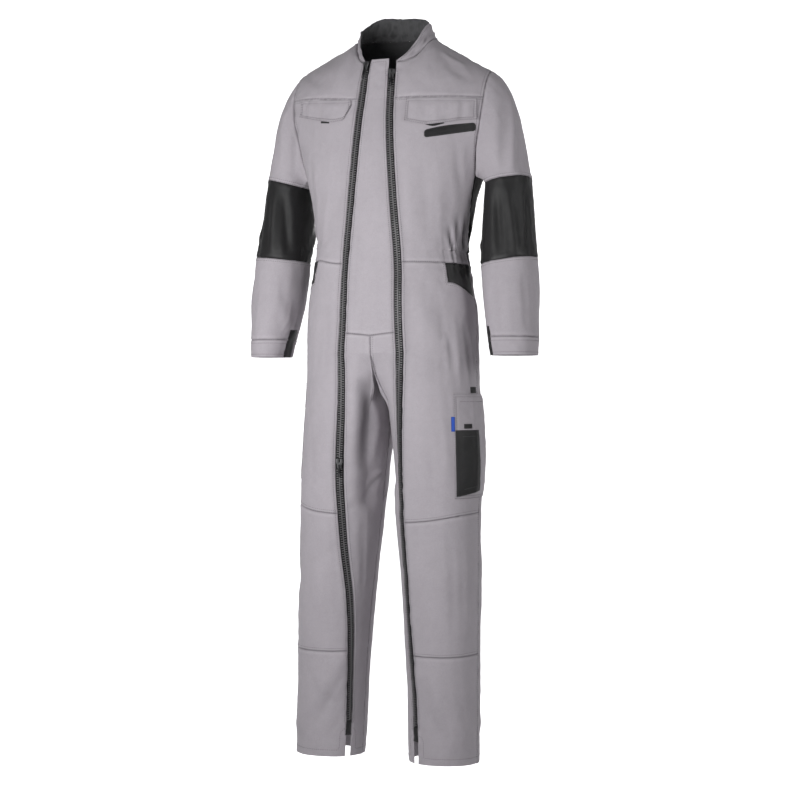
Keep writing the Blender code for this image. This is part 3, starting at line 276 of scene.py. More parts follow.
def plasticLook(name, colour, roughness):
    look = Look(name, colour, roughness, Specular_IOR_Level=0.45)
    grain = look.noise(look.place(), 700.0, 2.0)
    look.set("Roughness", (grain - 0.5) * 0.2 + roughness)
    look.set("Base Color", look.blend(grain.clamped(), shade(colour, 0.8), shade(colour, 1.25)))
    return look.material


def threadLook(name, colour):
    look = Look(name, colour, 0.7, Sheen_Weight=0.3)
    ply = look.noise(look.place(), 2200.0, 1.0)
    look.set("Base Color", look.blend(ply.clamped(), shade(colour, 0.75), shade(colour, 1.25)))
    return look.material


def floorLook(size, view):
    # a pale floor and wall, lit to white behind the suit
    look = Look("pale floor", (0.86, 0.86, 0.87), 0.9, Emission_Strength=size["glow"])
    x, y, z = look.split(look.place())
    turn = math.radians(view["turn"])
    behind = y * math.cos(turn) - x * math.sin(turn)
    beside = x.math("ABSOLUTE", x * math.cos(turn) + y * math.sin(turn))
    away = behind + view["distance"]
    within = (away * size["spread"] - beside) / (away * size["softness"])
    started, below = (behind - size["glowFrom"]) / size["glowEdge"], (size["glowTop"] - z) / size["glowEdge"]
    lit = started.clamped() * within.clamped() * below.clamped()
    look.set("Emission Color", look.blend(lit, (0, 0, 0, 1), (1, 1, 1, 1)))
    return look.material


colours = dict(
    grey=(0.400, 0.372, 0.402),
    black=(0.0100, 0.0098, 0.0104),
    # the collar's dark lining, which is also painted light on the inner faces of the black pieces
    lining=(0.085, 0.085, 0.088),
    tape=(0.010, 0.0098, 0.0104),
    teeth=(0.125, 0.122, 0.126),
    metal=(0.13, 0.13, 0.133),
    darkMetal=(0.035, 0.035, 0.037),
    blue=(0.030, 0.085, 0.42),
)

looks = dict(
    grey=clothLook("grey twill", colours["grey"]),
    # black twill whose inner faces are painted paler in the lining colour, standing in for light in its shaded inside
    black=clothLook(
        "black twill", colours["black"], 0.58, contrast=0.24, sheen=0.08, gloss=0.42, inside=colours["lining"]
    ),
    lining=clothLook("dark lining", colours["lining"], 0.85, thread=0.0008, contrast=0.12, sheen=0.15),
    tape=clothLook("zip tape", colours["tape"], 0.75, thread=0.0014, contrast=0.16, sheen=0.1),
    blue=clothLook("blue tab", colours["blue"], 0.7, thread=0.0007, contrast=0.10),
    teeth=plasticLook("zip teeth", colours["teeth"], 0.36),
    metal=metalLook("slider metal", colours["metal"], 0.42),
    darkMetal=metalLook("dark pull metal", colours["darkMetal"], 0.36),
    greyThread=threadLook("grey thread", shade(colours["grey"], 0.42)[:3]),
    blackThread=threadLook("black thread", (0.03, 0.03, 0.031)),
)

makeCamera(camera)
for lampName, values in lamps.items():
    makeLamp(lampName, *values)
floorPiece = makeFloor(floorSize)
floorPiece.data.materials.append(floorLook(floorSize, camera))
world = bpy.data.worlds.new("studio")
world.use_nodes = True
world.node_tree.nodes["Background"].inputs["Color"].default_value = (1, 1, 1, 1)
world.node_tree.nodes["Background"].inputs["Strength"].default_value = 0.15
bpy.context.scene.world = world
bpy.context.scene.view_settings.view_transform = "Standard"
print("camera, light and floor made")

# ---- sizes of the suit; each table has one row for each section


class Sizes:
    # rows of sizes, with a smooth curve of values between them

    def __init__(self, columns, *rows):
        self.names = columns.split()[1:]
        data = np.array(sorted(rows), float)
        self.keys, self.values = data[:, 0], data[:, 1:]
        self.slopes = np.gradient(self.values, self.keys, axis=0)

    def at(self, key):
        key = np.clip(np.asarray(key, float), self.keys[0], self.keys[-1])
        i = np.clip(np.searchsorted(self.keys, key, side="right") - 1, 0, len(self.keys) - 2)
        step = (self.keys[i + 1] - self.keys[i])[..., None]
        t = (key - self.keys[i])[..., None] / step
        values = (
            (2 * t**3 - 3 * t**2 + 1) * self.values[i]
            + (t**3 - 2 * t**2 + t) * step * self.slopes[i]
            + (3 * t**2 - 2 * t**3) * self.values[i + 1]
            + (t**3 - t**2) * step * self.slopes[i + 1]
        )
        return {name: values[..., k] for k, name in enumerate(self.names)}


def smooth(t):
    t = np.clip(t, 0, 1)
    return t * t * (3 - 2 * t)


def mix(a, b, t):
    return a * (1 - t) + b * t


def vectors(x, y, z):
    return np.stack(np.broadcast_arrays(x, y, z), axis=-1).astype(float)


def power(value, exponent):
    return np.abs(value) ** exponent


def bell(distance, width):
    return np.exp(-((distance / width) ** 2))


def together(first, second):
    return np.broadcast_arrays(np.asarray(first, float), np.asarray(second, float))


def middles(values):
    values = np.asarray(values, float)
    return (values[:-1] + values[1:]) / 2


mirror = dict(left=np.array([1.0, 1.0, 1.0]), right=np.array([-1.0, 1.0, 1.0]))

seam = dict(
    chest=1.392, underarm=1.236, bandTop=1.075, waist=1.048, inset=1.007, insetFall=0.026, centre=0.902,
    fork=0.860, crotchDrop=0.062, legRound=0.600, backKnee=0.555, backKneeRise=0.100, backKneeReach=0.14,
    knee=0.512, kneeSlant=0.018, kneeReach=0.07, shin=0.232, facing=0.078, notch=0.046, hemRise=0.011,
    hemReach=0.2, elbow=1.2185, forearm=1.059, placket=0.915, cuff=0.8936, cuffEdge=0.8555,
)
kneeLift = dict(left=-0.004, right=0.011)
waistLift = dict(left=0.0, right=0.012)
cuffTurn = dict(left=math.radians(5), right=math.radians(34))
tapeWidth = 0.015
lastColumn = 19

trunk = Sizes(
    "height halfWidth front side back roundness",
    (0.86, 0.188, -0.133, 0.0, 0.13, 2.3),
    (0.93, 0.187, -0.134, 0.0, 0.13, 2.3),
    (0.99, 0.182, -0.133, 0.0, 0.12, 2.25),
    (1.048, 0.168, -0.131, 0.0, 0.103, 2.2),
    (1.07, 0.162, -0.13, 0.002, 0.1, 2.2),
    (1.13, 0.171, -0.127, 0.004, 0.112, 2.2),
    (1.186, 0.18, -0.124, 0.006, 0.125, 2.25),
    (1.236, 0.194, -0.121, 0.01, 0.134, 2.3),
    (1.29, 0.206, -0.118, 0.012, 0.14, 2.35),
    (1.34, 0.214, -0.112, 0.014, 0.14, 2.4),
    (1.392, 0.221, -0.104, 0.016, 0.134, 2.45),
)
zipOnBody = Sizes(
    "height left right",
    (0.86, 0.064, 0.068),
    (0.902, 0.062, 0.065),
    (1.048, 0.058, 0.059),
    (1.18, 0.0463, 0.048),
    (1.35, 0.034, 0.035),
    (1.47, 0.029, 0.029),
)
zipOnLeg = Sizes(
    "height left right",
    (0.0, 28.0, 54.0),
    (0.14, 29.5, 53.0),
    (0.35, 37.0, 42.0),
    (0.46, 36.0, 27.0),
    (0.56, 34.5, 18.0),
    (0.86, 30.0, 18.0),
)
leg = Sizes(
    "height middleX middleY halfWidth halfDepth",
    (0.0, 0.129, -0.036, 0.072, 0.082),
    (0.23, 0.1235, -0.026, 0.0765, 0.088),
    (0.4, 0.1165, -0.02, 0.083, 0.094),
    (0.512, 0.11, -0.015, 0.088, 0.099),
    (0.6, 0.106, -0.008, 0.0915, 0.106),
    (0.86, 0.1, 0.0, 0.093, 0.12),
)
sleeve = Sizes(
    "height middleX middleY left right halfDepth",
    (0.85, 0.278, -0.02, 0.048, 0.04, 0.056),
    (0.896, 0.274, -0.016, 0.052, 0.046, 0.06),
    (0.96, 0.268, -0.008, 0.056, 0.055, 0.064),
    (1.052, 0.26, 0.004, 0.058, 0.058, 0.065),
    (1.14, 0.2535, 0.02, 0.053, 0.0535, 0.066),
    (1.222, 0.2505, 0.03, 0.0465, 0.0465, 0.068),
)
sleeveLift = Sizes(
    "height left leftTilt right rightTilt",
    (0.85, 0.0, 0.0, 0.0, 0.0),
    (0.93, 0.0, 0.0, 0.0, 0.0),
    (1.059, -0.0055, 0.0075, 0.011, 0.006),
    (1.14, 0.0, 0.006, 0.012, 0.005),
    (1.222, 0.006, 0.007, 0.01, 0.011),
)
sidePanel = Sizes(
    "height front back",
    (0.86, 92.0, 118.0),
    (0.93, 94.0, 122.0),
    (0.99, 97.0, 127.0),
    (1.048, 99.0, 129.0),
    (1.075, 99.0, 129.0),
    (1.13, 93.0, 124.0),
    (1.186, 86.0, 118.0),
    (1.236, 80.0, 112.0),
)
gatherDepth = Sizes(
    "height depth",
    (0.99, 0.0),
    (1.02, 0.0008),
    (1.048, 0.0022),
    (1.075, 0.0026),
    (1.105, 0.0022),
    (1.15, 0.0004),
    (1.175, 0.0),
)
frontSteps = ([3, 4, 5, 6, 7, 8, 9], [0, 0.12, 0.24, 0.36, 0.48, 0.74, 1.0])
legSteps = ([3, 4, 5, 6, 7, 8, 9], [0, 0.15, 0.30, 0.45, 0.60, 0.80, 1.0])
yokeHump = ([0, 3, 6, 9, 12, 15, 19], [0.25, 0.35, 0.75, 0.6, 0.6, 0.7, 0.6])
turns = dict(outseam=math.radians(91.5), seat=math.radians(232))
neck = dict(centre=-0.012, left=0.095, right=0.0765, front=0.084, back=0.076, frontHeight=1.468, backHeight=1.545)
shoulderTip = np.array([0.216, 0.002, 1.454])
collarBand = 0.30
collarLean = dict(left=([3, 19], [0.42, 0.42]), right=([3, 6, 15, 19], [0.30, 0.16, 0.16, 0.42]))
collarColumns = [3, 4, 5, 6, 15, 16, 17, 18, 19]
collarHeight = dict(
    left=[0.004, 0.024, 0.033, 0.033, 0.033, 0.036, 0.041, 0.0445, 0.045],
    right=[0.004, 0.018, 0.024, 0.025, 0.026, 0.041, 0.0475, 0.048, 0.045],
)
oval = 0.92

# ---- the surface of the suit, piece by piece of the body
# A column is a number round the body: 0 centre front, 2 and 3 the zip tape's edges, 7 the front of the
# side pocket, 9 the outseam, 12 the back of the side panel, 19 the centre back.


def ringPoint(row, angle):
    exponent = 2 / row["roundness"]
    end = np.where(np.cos(angle) > 0, row["front"], row["back"])
    x = row["halfWidth"] * power(np.sin(angle), exponent)
    return x, mix(row["side"], end, power(np.cos(angle), exponent))


def angleAtX(row, x):
    return np.arcsin(np.clip(power(x / row["halfWidth"], row["roundness"] / 2), 0, 1))


def zipEdges(height, side):
    middle = zipOnBody.at(height)[side]
    return middle - tapeWidth / 2, middle + tapeWidth / 2


def nearZip(column, inner, outer):
    return np.where(column < 2, inner * column / 2, mix(inner, outer, column - 2))


def bodyAngle(column, height, row, side):
    inner, outer = zipEdges(height, side)
    near = angleAtX(row, nearZip(column, inner, outer))
    panel = sidePanel.at(height)
    panelFront, panelBack = np.radians(panel["front"]), np.radians(panel["back"])
    front = mix(angleAtX(row, outer), panelFront, np.interp(column, *frontSteps))
    flank = mix(panelFront, panelBack, (column - 9) / 3)
    back = mix(panelBack, math.pi, (column - 12) / (lastColumn - 12))
    return np.select([column <= 3, column <= 9, column <= 12], [near, front, flank], back)


def bodyPoint(column, height, side):
    column, height = together(column, height)
    row = trunk.at(height)
    x, y = ringPoint(row, bodyAngle(column, height, row, side))
    outX = x / row["halfWidth"] ** 2
    outY = (y - row["side"]) / row["front"] ** 2
    length = np.hypot(outX, outY)
    reach = smooth((column - 6.5) / 1.5)
    wave = -gatherDepth.at(height)["depth"] * np.cos(2 * math.pi * column) * reach
    fall = seam["insetFall"] * smooth((column - 7) / 2)
    bend = np.interp(height, [seam["centre"], seam["inset"], seam["waist"]], [0, 1, 0])
    beside = smooth((column - 3) / 4) * smooth((lastColumn - 1 - column) / 6)
    lift = waistLift[side] * beside * np.interp(height, [0.955, 1.048, 1.075, 1.145], [0, 1, 1, 0])
    dip = 0.006 * np.clip(1 - column / 2, 0, 1) * np.interp(height, [seam["fork"], seam["centre"], 0.955], [0, 1, 0])
    return vectors(x + wave * outX / length, y + wave * outY / length, height - fall * bend + lift - dip)


underarm = {name: float(value) for name, value in trunk.at(seam["underarm"]).items()}
panelEnds = {name: math.radians(value) for name, value in sidePanel.at(seam["underarm"]).items()}
armhole = Sizes(
    "height frontX frontY backX backY",
    (seam["underarm"], *ringPoint(underarm, panelEnds["front"]), *ringPoint(underarm, panelEnds["back"])),
    (1.29, 0.2, -0.037, 0.189, 0.076),
    (1.34, 0.21, -0.045, 0.196, 0.084),
    (seam["chest"], 0.216, -0.042, 0.204, 0.078),
)


def sheetPoint(column, height, side):
    # between the underarm and the chest seam
    column, height = together(column, height)
    front = column <= 9
    row, edge = trunk.at(height), armhole.at(height)
    centreY = np.where(front, row["front"], row["back"])
    edgeX = np.where(front, edge["frontX"], edge["backX"])
    edgeY = np.where(front, edge["frontY"], edge["backY"])
    ringEdgeX, ringEdgeY = ringPoint(underarm, np.where(front, panelEnds["front"], panelEnds["back"]))
    ringX, ringY = ringPoint(underarm, bodyAngle(column, height, underarm, side))
    ringEnd = np.where(front, underarm["front"], underarm["back"])
    ringBow = (ringY - ringEnd) / (ringEdgeY - ringEnd)
    inner, outer = zipEdges(height, side)
    zone = nearZip(column, inner, outer)
    even = mix(outer, edgeX, np.interp(column, *frontSteps))
    even = np.where(front, even, edgeX * (lastColumn - column) / (lastColumn - 12))
    up = smooth((height - seam["underarm"]) / (seam["chest"] - seam["underarm"]))
    x = np.where(column <= 3, zone, mix(ringX / ringEdgeX * edgeX, even, up))
    bow = mix(ringBow, power(x / edgeX, 2.6), up)
    return vectors(x, mix(centreY, edgeY, bow), height)


def neckPoint(column, side):
    column = np.asarray(column, float)
    inner, outer = zipEdges(neck["frontHeight"], side)
    zone = nearZip(column, inner, outer)
    zipTurn = math.asin(float(outer) / neck[side])
    front = np.arcsin(np.clip(zone / neck[side], 0, 1))
    flank = mix(zipTurn, math.pi / 2, (column - 3) / 3)
    back = mix(math.pi / 2, math.pi, (column - 15) / 4)
    turn = np.where(column <= 3, front, np.where(column <= 6, flank, back))
    forward = np.cos(turn)
    depth = np.where(forward > 0, neck["front"], neck["back"])
    low, rise = neckHeight - neck["frontHeight"], neck["backHeight"] - neckHeight
    height = neckHeight + np.where(forward > 0, -low * smooth(forward), rise * smooth(-forward))
    return vectors(neck[side] * np.sin(turn), neck["centre"] - depth * forward, height)


def topEdge(column, side):
    column = np.asarray(column, float)
    along = np.where(column <= 9, (column - 6) / 3, (15 - column) / 3)[..., None]
    shoulder = mix(neckPoint(6.0, side), shoulderTip, along)
    shoulder[..., 2] += -0.001 * np.sin(math.pi * np.clip(along[..., 0], 0, 1))
    onShoulder = ((column > 6) & (column < 15))[..., None]
    return np.where(onShoulder, shoulder, neckPoint(column, side))


def yokePoint(column, part, side):
    # from the chest seam, part 0, to the neck and shoulder seams, part 1
    column, part = together(column, part)
    low, high = sheetPoint(column, seam["chest"], side), topEdge(column, side)
    turn = part * math.pi / 2
    hump = np.interp(column, *yokeHump)
    flat = mix(part, 1 - np.cos(turn), hump)[..., None]
    rise = mix(part, np.sin(turn), hump)[..., None]
    return np.concatenate([mix(low[..., :2], high[..., :2], flat), mix(low[..., 2:], high[..., 2:], rise)], -1)


# a leg's columns run on from 0 to -2 at the inseam in front, and from 19 to 21 at the inseam behind


def crotchPoint(column):
    front = column < 10
    turn = np.where(front, -column / 2, (column - lastColumn) / 2) * math.pi / 2
    row = trunk.at(seam["fork"])
    y = np.where(front, row["front"], row["back"]) * power(np.cos(turn), 0.85)
    return vectors(0, y, seam["fork"] - seam["crotchDrop"] * power(np.sin(turn), 0.85))


def legAngle(column, height, side):
    zipMiddle = -np.radians(zipOnLeg.at(height)[side])
    half = tapeWidth / 2 / 0.080
    centre = mix(-math.pi / 2, zipMiddle, 0.42)
    inner = mix(-math.pi / 2, centre, (column + 2) / 2)
    byZip = mix(centre, zipMiddle - half, column / 2)
    tape = zipMiddle + half * (2 * (column - 2) - 1)
    front = mix(zipMiddle + half, turns["outseam"], np.interp(column, *legSteps))
    back = mix(turns["outseam"], turns["seat"], (column - 9) / (lastColumn - 9))
    last = mix(turns["seat"], 1.5 * math.pi, (column - lastColumn) / 2)
    zones = [column <= 0, column <= 2, column <= 3, column <= 9, column <= lastColumn]
    return np.select(zones, [inner, byZip, tape, front, back], last)


def legPoint(column, height, side):
    column, height = together(column, height)
    row = leg.at(height)
    angle = legAngle(column, height, side)
    ringX = row["middleX"] + row["halfWidth"] * np.sign(np.sin(angle)) * power(np.sin(angle), oval)
    ringY = row["middleY"] - row["halfDepth"] * np.sign(np.cos(angle)) * power(np.cos(angle), oval)
    onBody = ((column >= 0) & (column <= lastColumn))[..., None]
    body = bodyPoint(np.clip(column, 0, lastColumn), np.full(column.shape, seam["fork"]), side)
    top = np.where(onBody, body, crotchPoint(column))
    down = np.clip((seam["fork"] - height) / (seam["fork"] - seam["legRound"]), 0, 1)
    early = np.clip(1 - np.minimum(column, lastColumn - column) / 4, 0, 1)
    blend = mix(smooth(down), down * (2 - down), early)
    behind = np.sin(math.pi * np.clip((column - 9) / 12, 0, 1)) ** 2
    nearSeam = bell(height - seam["backKnee"], seam["backKneeReach"])
    hump = seam["backKneeRise"] * behind * nearSeam * smooth((seam["fork"] - height) / seam["backKneeRise"])
    low = np.where(height >= seam["legRound"], mix(top[..., 2], seam["legRound"], down), height)
    before = kneeLift[side] + seam["kneeSlant"] * smooth((column - 3) / 6)
    before = before * smooth((column + 2) / 4) * smooth((13 - column) / 4)
    knee = before * bell(height - seam["knee"], seam["kneeReach"])
    hem = seam["hemRise"] * (1 + np.cos(angle)) / 2 * smooth(1 - height / seam["hemReach"])
    z = low + hump + knee + hem
    return vectors(mix(top[..., 0], ringX, blend), mix(top[..., 1], ringY, blend), z)


def armholeLoop(side, rows, parts, bottomColumns):
    # up the front edge, down the back edge and along the bottom
    front = [sheetPoint(9.0, rows, side), yokePoint(9.0, parts[1:], side)]
    back = [sheetPoint(12.0, rows, side), yokePoint(12.0, parts[1:-1], side)]
    bottom = bodyPoint(bottomColumns[::-1][1:], seam["underarm"], side)
    return np.concatenate([*front, np.concatenate(back)[::-1], bottom])


def loopAngles(loop, tip):
    along = np.concatenate([[0], np.cumsum(np.linalg.norm(np.diff(loop, axis=0), axis=1))])
    total = along[-1]
    middle = (along[2 * tip] + total) / 2
    frontLength = along[tip] + total - middle
    front = math.pi * (along[tip] - along) / frontLength
    back = -math.pi * (along - along[tip]) / (middle - along[tip])
    under = math.pi * (along[tip] + total - along) / frontLength
    return np.select([along <= along[tip], along <= middle], [front, back], under)


def sleeveRing(angle, height, side):
    row, lift = sleeve.at(height), sleeveLift.at(height)
    angle = angle + cuffTurn[side] * np.interp(height, [0.930, 1.059], [1, 0])
    across = np.sign(np.cos(angle)) * power(np.cos(angle), oval)
    ahead = np.sign(np.sin(angle)) * power(np.sin(angle), oval)
    x = row["middleX"] + row[side] * across
    z = height + lift[side] + lift[side + "Tilt"] * across
    return vectors(x, row["middleY"] - row["halfDepth"] * ahead, z)


sleeveHead = dict(under=(0.05, 0.0, -1.0), spread=0.30, hold=0.30, end=(-0.09, 0.0, 0.42))
sleeveOver = dict(left=(0.92, 0.0, -0.44), right=(0.55, 0.0, -0.60))


def headPoint(loop, angle, part, side):
    # from the armhole, part 0, to the elbow panel's upper seam, part 1
    end = sleeveRing(angle, seam["elbow"], side)
    reach = np.linalg.norm(end - loop, axis=-1)[..., None]
    outward = ((1 + np.cos(angle)) / 2)[..., None]
    start = mix(np.array(sleeveHead["under"]), np.array(sleeveOver[side]), outward)
    start = start + vectors(0, -sleeveHead["spread"] * np.sin(angle), 0)
    start = start / np.linalg.norm(start, axis=-1)[..., None]
    first = loop + start * sleeveHead["hold"] * reach
    second = end + np.array(sleeveHead["end"]) * reach
    rest = 1 - part
    return rest**3 * loop + 3 * rest**2 * part * first + 3 * rest * part**2 * second + part**3 * end


def collarPoint(column, part, side):
    base = neckPoint(column, side)
    tall = np.interp(column, collarColumns, collarHeight[side]) * part
    inward = np.array([0.0, neck["centre"]]) - base[..., :2]
    inward = inward / np.linalg.norm(inward, axis=-1)[..., None]
    lean = (np.interp(column, *collarLean[side]) * tall)[..., None] * inward
    return np.concatenate([base[..., :2] + lean, base[..., 2:] + tall[..., None]], axis=-1)


stance = dict(rise=0.017, riseFrom=1.10, riseOver=0.25, lean=0.006, leanFrom=1.342, leanOver=0.15)


def settled(points):
    # the right shoulder is held a little higher, and the neck leans to the left
    x, y, z = points.T
    rise = stance["rise"] * smooth(-x / shoulderTip[0]) * smooth((z - stance["riseFrom"]) / stance["riseOver"])
    return vectors(x + stance["lean"] * smooth((z - stance["leanFrom"]) / stance["leanOver"]), y, z + rise)


# ---- one fine skin for the whole suit, from which the pieces are cut

netSize = dict(
    rowStep=0.0056, rowNear=[0.0013, 0.0042], columnStep=0.24, gatherStep=0.088, columnNear=[0.055, 0.18],
    partStep=0.04, partNear=[0.009, 0.03], headStep=0.026, headNear=[0.005, 0.017], sheetMiddle=1.275, weld=2e-5,
    tape=[2, 2.08, 2.28, 2.5, 2.72, 2.92],
    collar=[0, 0.04, 0.13, 0.22, 0.27, 0.30, 0.33, 0.40, 0.52, 0.64, 0.76, 0.88, 0.96, 1.0],
)
weaveSize = dict(body=0.0235, sleeve=0.058, collar=0.03, yokeTall=0.13, headTall=0.22, collarTall=0.04)
seamColumns = {-2, 0, 2, 3, 7, 9, 12, 14, 21}


def spaced(low, high, step, near, atLow, atHigh):
    # even steps, with two closer ones beside a seam
    start = low + (near[-1] if atLow else 0)
    end = high - (near[-1] if atHigh else 0)
    values = list(np.linspace(start, end, max(1, round((end - start) / step)) + 1))
    if atLow:
        values = [low] + [low + n for n in near[:-1]] + values
    if atHigh:
        values = values + [high - n for n in near[:-1][::-1]] + [high]
    return values


def spacedThrough(stops, step, near, seams):
    values = []
    for low, high in zip(stops, stops[1:]):
        values += spaced(low, high, step, near, low in seams, high in seams)[:-1]
    return np.array(values + [stops[-1]])


def columnsThrough(first, last):
    values = []
    for k in range(first, last):
        if k == 2:
            values += netSize["tape"]
        else:
            ends = (k in seamColumns, k + 1 in seamColumns)
            step = netSize["gatherStep"] if 6 <= k < 19 else netSize["columnStep"]
            values += spaced(k, k + 1, step, netSize["columnNear"], *ends)[:-1]
    return np.array(values + [last], float)


def rowsThrough(stops, seams):
    return spacedThrough(stops, netSize["rowStep"], netSize["rowNear"], seams)


def bodyName(column, height, side):
    if column < 2:
        return "centre_front" if height > seam["centre"] else f"inner_front_{side}"
    if column < 3:
        return f"zip_tape_{side}"
    if height < seam["waist"]:
        if column > 9:
            return f"back_leg_upper_{side}"
        return f"pocket_inset_{side}" if column > 7 and height > seam["inset"] else f"thigh_{side}"
    if column > 7 and height < seam["bandTop"]:
        return "waistband"
    if column < 9:
        return f"chest_{side}"
    return f"side_panel_{side}" if column < 12 else "back_panel"


zipTop = dict(left=0.6, right=1.0)


def yokeName(column, part, side):
    if column < 2:
        return "centre_front"
    if column < 3:
        return f"zip_tape_{side}" if part < zipTop[side] else None
    if column < 9:
        return f"front_yoke_{side}"
    return "back_yoke" if column > 12 else None


def legName(column, height, side):
    if column < 2:
        return f"inner_front_{side}"
    if column < 3:
        if height < seam["notch"]:
            return None
        return f"hem_facing_{side}" if height < seam["facing"] else f"zip_tape_{side}"
    if column < 9:
        tops = ((seam["shin"], "shin"), (seam["knee"], "knee"), (seam["fork"], "thigh"))
        return next(f"{name}_{side}" for top, name in tops if height < top)
    return f"back_leg_lower_{side}" if height < seam["backKnee"] else f"back_leg_upper_{side}"


def gridQuads(rows, columns, side):
    corner = (np.arange(rows - 1)[:, None] * columns + np.arange(columns - 1)).reshape(-1)
    quads = np.stack([corner, corner + 1, corner + columns + 1, corner + columns], -1)
    return quads[:, ::-1] if side == "right" else quads


class Skin:
    # grids of quads, each marked with the sewn piece that it belongs to

    def __init__(self):
        self.points, self.quads, self.marks, self.weave, self.names = [], [], [], [], []
        self.count = 0

    def grid(self, points, weave, names, side):
        flat = points.reshape(-1, 3) * mirror[side]
        quads = gridQuads(*points.shape[:2], side)
        marks = []
        for name in names:
            if name is not None and name not in self.names:
                self.names.append(name)
            marks.append(-1 if name is None else self.names.index(name))
        marks = np.array(marks)
        kept = marks >= 0
        self.points.append(flat)
        self.quads.append(quads[kept] + self.count)
        self.marks.append(marks[kept])
        self.weave.append(weave.reshape(-1, 2)[quads[kept]])
        self.count += len(flat)

    def finish(self):
        # joins the grids along their shared points
        points, quads = np.concatenate(self.points), np.concatenate(self.quads)
        marks, weave = np.concatenate(self.marks), np.concatenate(self.weave)
        mesh = bmesh.new()
        vertices = [mesh.verts.new(point) for point in points]
        markLayer = mesh.faces.layers.int.new("mark")
        for index, quad in enumerate(quads):
            mesh.faces.new([vertices[k] for k in quad])[markLayer] = index
        loose = [vertex for vertex in vertices if not vertex.link_faces]
        bmesh.ops.delete(mesh, geom=loose, context="VERTS")
        bmesh.ops.remove_doubles(mesh, verts=mesh.verts, dist=netSize["weld"])
        mesh.verts.index_update()
        self.points = settled(np.array([vertex.co for vertex in mesh.verts]))
        kept, faces = [], []
        for face in mesh.faces:
            if len(face.verts) == 4:
                kept.append(face[markLayer])
                faces.append([vertex.index for vertex in face.verts])
        mesh.free()
        self.quads, kept = np.array(faces), np.array(kept)
        self.marks, self.weave = marks[kept], weave[kept]


def namesOf(columns, heights, chooser, side):
    return [chooser(c, h, side) for h in middles(heights) for c in middles(columns)]


def gridUv(columns, heights, width):
    return np.stack(np.meshgrid(columns * width, heights), -1)


def suitSkin():
    skin = Skin()
    legColumns, bodyColumns = columnsThrough(-2, 21), columnsThrough(0, lastColumn)
    frontColumns, backColumns = columnsThrough(0, 9), columnsThrough(12, lastColumn)
    legStops = [0, seam["notch"], seam["facing"], seam["shin"], seam["knee"], seam["backKnee"], seam["fork"]]
    legRows = rowsThrough(legStops, set(legStops) - {0})
    bodyStops = [seam[name] for name in ("fork", "centre", "inset", "waist", "bandTop", "underarm")]
    bodyRows = rowsThrough(bodyStops, set(bodyStops))
    sheetStops = [seam["underarm"], netSize["sheetMiddle"], seam["chest"]]
    sheetRows = rowsThrough(sheetStops, {seam["underarm"], seam["chest"]})
    yokeParts = spacedThrough([0, 0.6, 1.0], netSize["partStep"], netSize["partNear"], {0, 1.0})
    headParts = spacedThrough([0, 1.0], netSize["headStep"], netSize["headNear"], {0, 1.0})
    sleeveStops = [seam[name] for name in ("cuffEdge", "cuff", "placket", "forearm", "elbow")]
    sleeveRows = rowsThrough(sleeveStops, set(sleeveStops[1:]))
    collarParts = np.array(netSize["collar"])
    for side in ("left", "right"):
        grids = [(legPoint, legColumns, legRows, legName), (bodyPoint, bodyColumns, bodyRows, bodyName)]
        for columns in (frontColumns, backColumns):
            grids += [(sheetPoint, columns, sheetRows, bodyName), (yokePoint, columns, yokeParts, yokeName)]
        for place, columns, rows, chooser in grids:
            points = place(columns[None, :], rows[:, None], side)
            heights = seam["chest"] + weaveSize["yokeTall"] * rows if place is yokePoint else rows
            weave = gridUv(columns, heights, weaveSize["body"])
            skin.grid(points, weave, namesOf(columns, rows, chooser, side), side)
        loop = armholeLoop(side, sheetRows, yokeParts, columnsThrough(9, 12))
        angles = loopAngles(loop, len(sheetRows) + len(yokeParts) - 2)
        count = len(loop) - 1
        parts = headParts[::-1]
        points = np.stack([headPoint(loop, angles, part, side) for part in parts])
        names = [f"sleeve_upper_{side}"] * (count * (len(parts) - 1))
        heights = seam["elbow"] + weaveSize["headTall"] * (1 - parts)
        skin.grid(points, gridUv(angles, heights, weaveSize["sleeve"]), names, side)
        points = np.stack([sleeveRing(angles, height, side) for height in sleeveRows])
        slit = int(np.searchsorted(sheetRows, netSize["sheetMiddle"] - 1e-6))
        names = []
        for height in middles(sleeveRows):
            tops = ((seam["cuff"], "cuff"), (seam["forearm"], "forearm"), (seam["elbow"], "elbow"))
            band = next(name for top, name in tops if height < top)
            for k in range(count):
                inSlit = height < seam["placket"] and k < slit
                names.append(f"placket_{side}" if inSlit else f"{band}_{side}")
        skin.grid(points, gridUv(angles, sleeveRows, weaveSize["sleeve"]), names, side)
        for columns in (columnsThrough(3, 6), columnsThrough(15, lastColumn)):
            points = np.stack([collarPoint(columns, part, side) for part in collarParts])
            names = ["collar_outer"] * ((len(columns) - 1) * (len(collarParts) - 1))
            weave = gridUv(columns, weaveSize["collarTall"] * collarParts, weaveSize["collar"])
            skin.grid(points, weave, names, side)
    skin.finish()
    return skin


def faceNormals(points, quads):
    return np.cross(points[quads[:, 2]] - points[quads[:, 0]], points[quads[:, 3]] - points[quads[:, 1]])


def pointNormals(points, quads):
    normal = faceNormals(points, quads)
    total = np.zeros_like(points)
    for k in range(4):
        np.add.at(total, quads[:, k], normal)
    return total / np.maximum(np.linalg.norm(total, axis=1), 1e-12)[:, None]


def trianglesOf(quads):
    return np.concatenate([quads[:, :3], quads[:, [0, 2, 3]]])


skin = suitSkin()
skin.base = skin.points.copy()
skin.triangles = trianglesOf(skin.quads)
skin.tree = BVHTree.FromPolygons(skin.base.tolist(), skin.triangles.tolist())
print("skin made:", len(skin.points), "points,", len(skin.quads), "cells")

# ---- folds, creases, gathers and puckered seams, and the shade painted into them

focal = dict(width=1627.5, middleX=393.0, middleY=394.0, mostInwards=0.2, tries=41)


